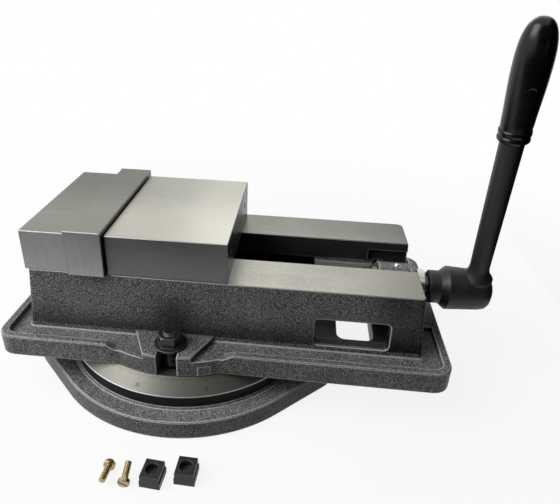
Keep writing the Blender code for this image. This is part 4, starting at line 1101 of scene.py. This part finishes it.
def grip_profile():
    """Share of the grip's length from top to foot, and the radius there.

    Dome: widest radius times (1 - u ^ 2.6) ^ (1 / 2.6). Swell: foot radius plus the rest times
    sin(v quarter turn) ^ 1.5. The collar rings below are given point by point.
    """
    share = np.concatenate([1 - np.linspace(0, 1, 34)[1:] ** 2 * (1 - WIDEST),
                            np.linspace(WIDEST, FOOT, 80)[1:]])
    rise = np.clip((share - FOOT) / (WIDEST - FOOT), 0, 1)
    swell = FOOT_RADIUS + (WIDE_RADIUS - FOOT_RADIUS) * np.sin(np.pi / 2 * rise) ** SWELL_POWER
    top = np.clip((share - WIDEST) / (1 - WIDEST), 0, 1)
    dome = WIDE_RADIUS * (1 - top ** DOME_POWER) ** (1 / DOME_POWER)
    radius = np.where(share > WIDEST, dome, swell)
    return np.concatenate([share, RINGS[:, 0]]), np.concatenate([radius, RINGS[:, 1]])


def plug_mark(share, radius, turns):
    """How deep the mark is: a smooth step inside its radius, less a raised ring within."""
    aside = (turns[None, :] - MARK_TURN + np.pi) % (2 * np.pi) - np.pi
    away = np.hypot(aside * radius[:, None], (share[:, None] - MARK_HEIGHT) * GRIP_LENGTH)
    step = np.clip((MARK_RADIUS - away) / MARK_EDGE, 0, 1)
    lip = np.clip(1 - np.abs(away - LIP_RADIUS) / LIP_WIDTH, 0, 1) * LIP_SHARE
    return MARK_DEPTH * (step * step * (3 - 2 * step) - lip)


turns = full_turn(96)
share, radius = grip_profile()
radii = radius[:, None] - plug_mark(share, radius, turns)
grid = around(radii, GRIP_START + share * GRIP_LENGTH, turns)
grip = piece("moulded_grip", [placed(grid, ARM_PLACE)], GRIP, "crank", 50.0)
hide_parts("crank_grip")

# %% [markdown]
# ## Numbers on the degree ring
#
# Every thirty degrees the ring has a number, with 0 under the small pad on the bed. The
# figures are cut as plain strokes, so each one is a path on the unrolled bevel with a flat
# ribbon along it, then wrapped round the cone.

# %% Degree numbers
FIGURES = {
    "0": ((0.30, 1.00), (0.12, 0.90), (0.03, 0.65), (0.03, 0.35), (0.12, 0.10), (0.30, 0.00),
          (0.48, 0.10), (0.57, 0.35), (0.57, 0.65), (0.48, 0.90), (0.33, 1.00)),
    "3": ((0.04, 0.86), (0.20, 0.99), (0.42, 0.98), (0.56, 0.82), (0.52, 0.64), (0.30, 0.54),
          (0.54, 0.44), (0.60, 0.24), (0.46, 0.04), (0.20, 0.01), (0.02, 0.15)),
    "6": ((0.54, 0.88), (0.36, 1.00), (0.16, 0.90), (0.05, 0.62), (0.04, 0.30), (0.16, 0.06),
          (0.36, 0.00), (0.54, 0.14), (0.57, 0.34), (0.45, 0.53), (0.25, 0.55), (0.07, 0.40)),
}
FIGURE_WIDTH = 0.6
FIGURES["9"] = tuple((FIGURE_WIDTH - x, 1.0 - y) for x, y in FIGURES["6"])
FIGURE_HEIGHT = 0.0032
FIGURE_SPACE = 0.0028
FIGURE_FOOT = 0.0048
STROKE = 0.00042
STROKE_PROUD = 0.00004


def ribbon(path):
    """A flat ribbon along a path: four corners round it, half a stroke to each side."""
    path = np.asarray(path)
    ahead = np.gradient(path, axis=0)
    ahead /= np.linalg.norm(ahead, axis=1)[:, None]
    aside = np.stack([-ahead[:, 1], ahead[:, 0]], axis=1)
    offsets = np.array([-1, 1, 1, -1]) * STROKE / 2
    sides = path[:, None, :] + aside[:, None, :] * offsets[None, :, None]
    lift = np.broadcast_to(np.array([-1, -1, 1, 1]) * STROKE_PROUD, sides.shape[:2])
    return np.concatenate([sides, lift[..., None]], axis=-1)


def on_bevel(grid, degrees):
    """Wraps x round the cone from a bearing, runs y up its slope and lifts by z."""
    across, up, lift = np.moveaxis(grid, -1, 0)
    radius = DRUM_RADIUS - up * math.cos(SLOPE) + lift * math.sin(SLOPE)
    angle = math.radians(ZERO_MARK + degrees) + across / radius
    height = BEVEL_FOOT_Z + up * math.sin(SLOPE) + lift * math.cos(SLOPE)
    return np.stack([radius * np.cos(angle), radius * np.sin(angle), height], axis=-1)


strokes = []
for degrees in range(-180, 180, 30):
    label = str(min(abs(degrees), 180 - abs(degrees)))
    gap = FIGURE_SPACE - FIGURE_WIDTH * FIGURE_HEIGHT
    for place, figure in enumerate(label):
        left = (place - len(label) / 2) * FIGURE_SPACE + gap / 2
        path = np.array(FIGURES[figure]) * FIGURE_HEIGHT + (left, FIGURE_FOOT)
        strokes.append(on_bevel(ribbon(path), degrees))
numbers = piece("degree_numbers", strokes, NUMBER_INK, "base", 30.0)

# %% [markdown]
# ## Finish
#

# %% Finish
print("finished")
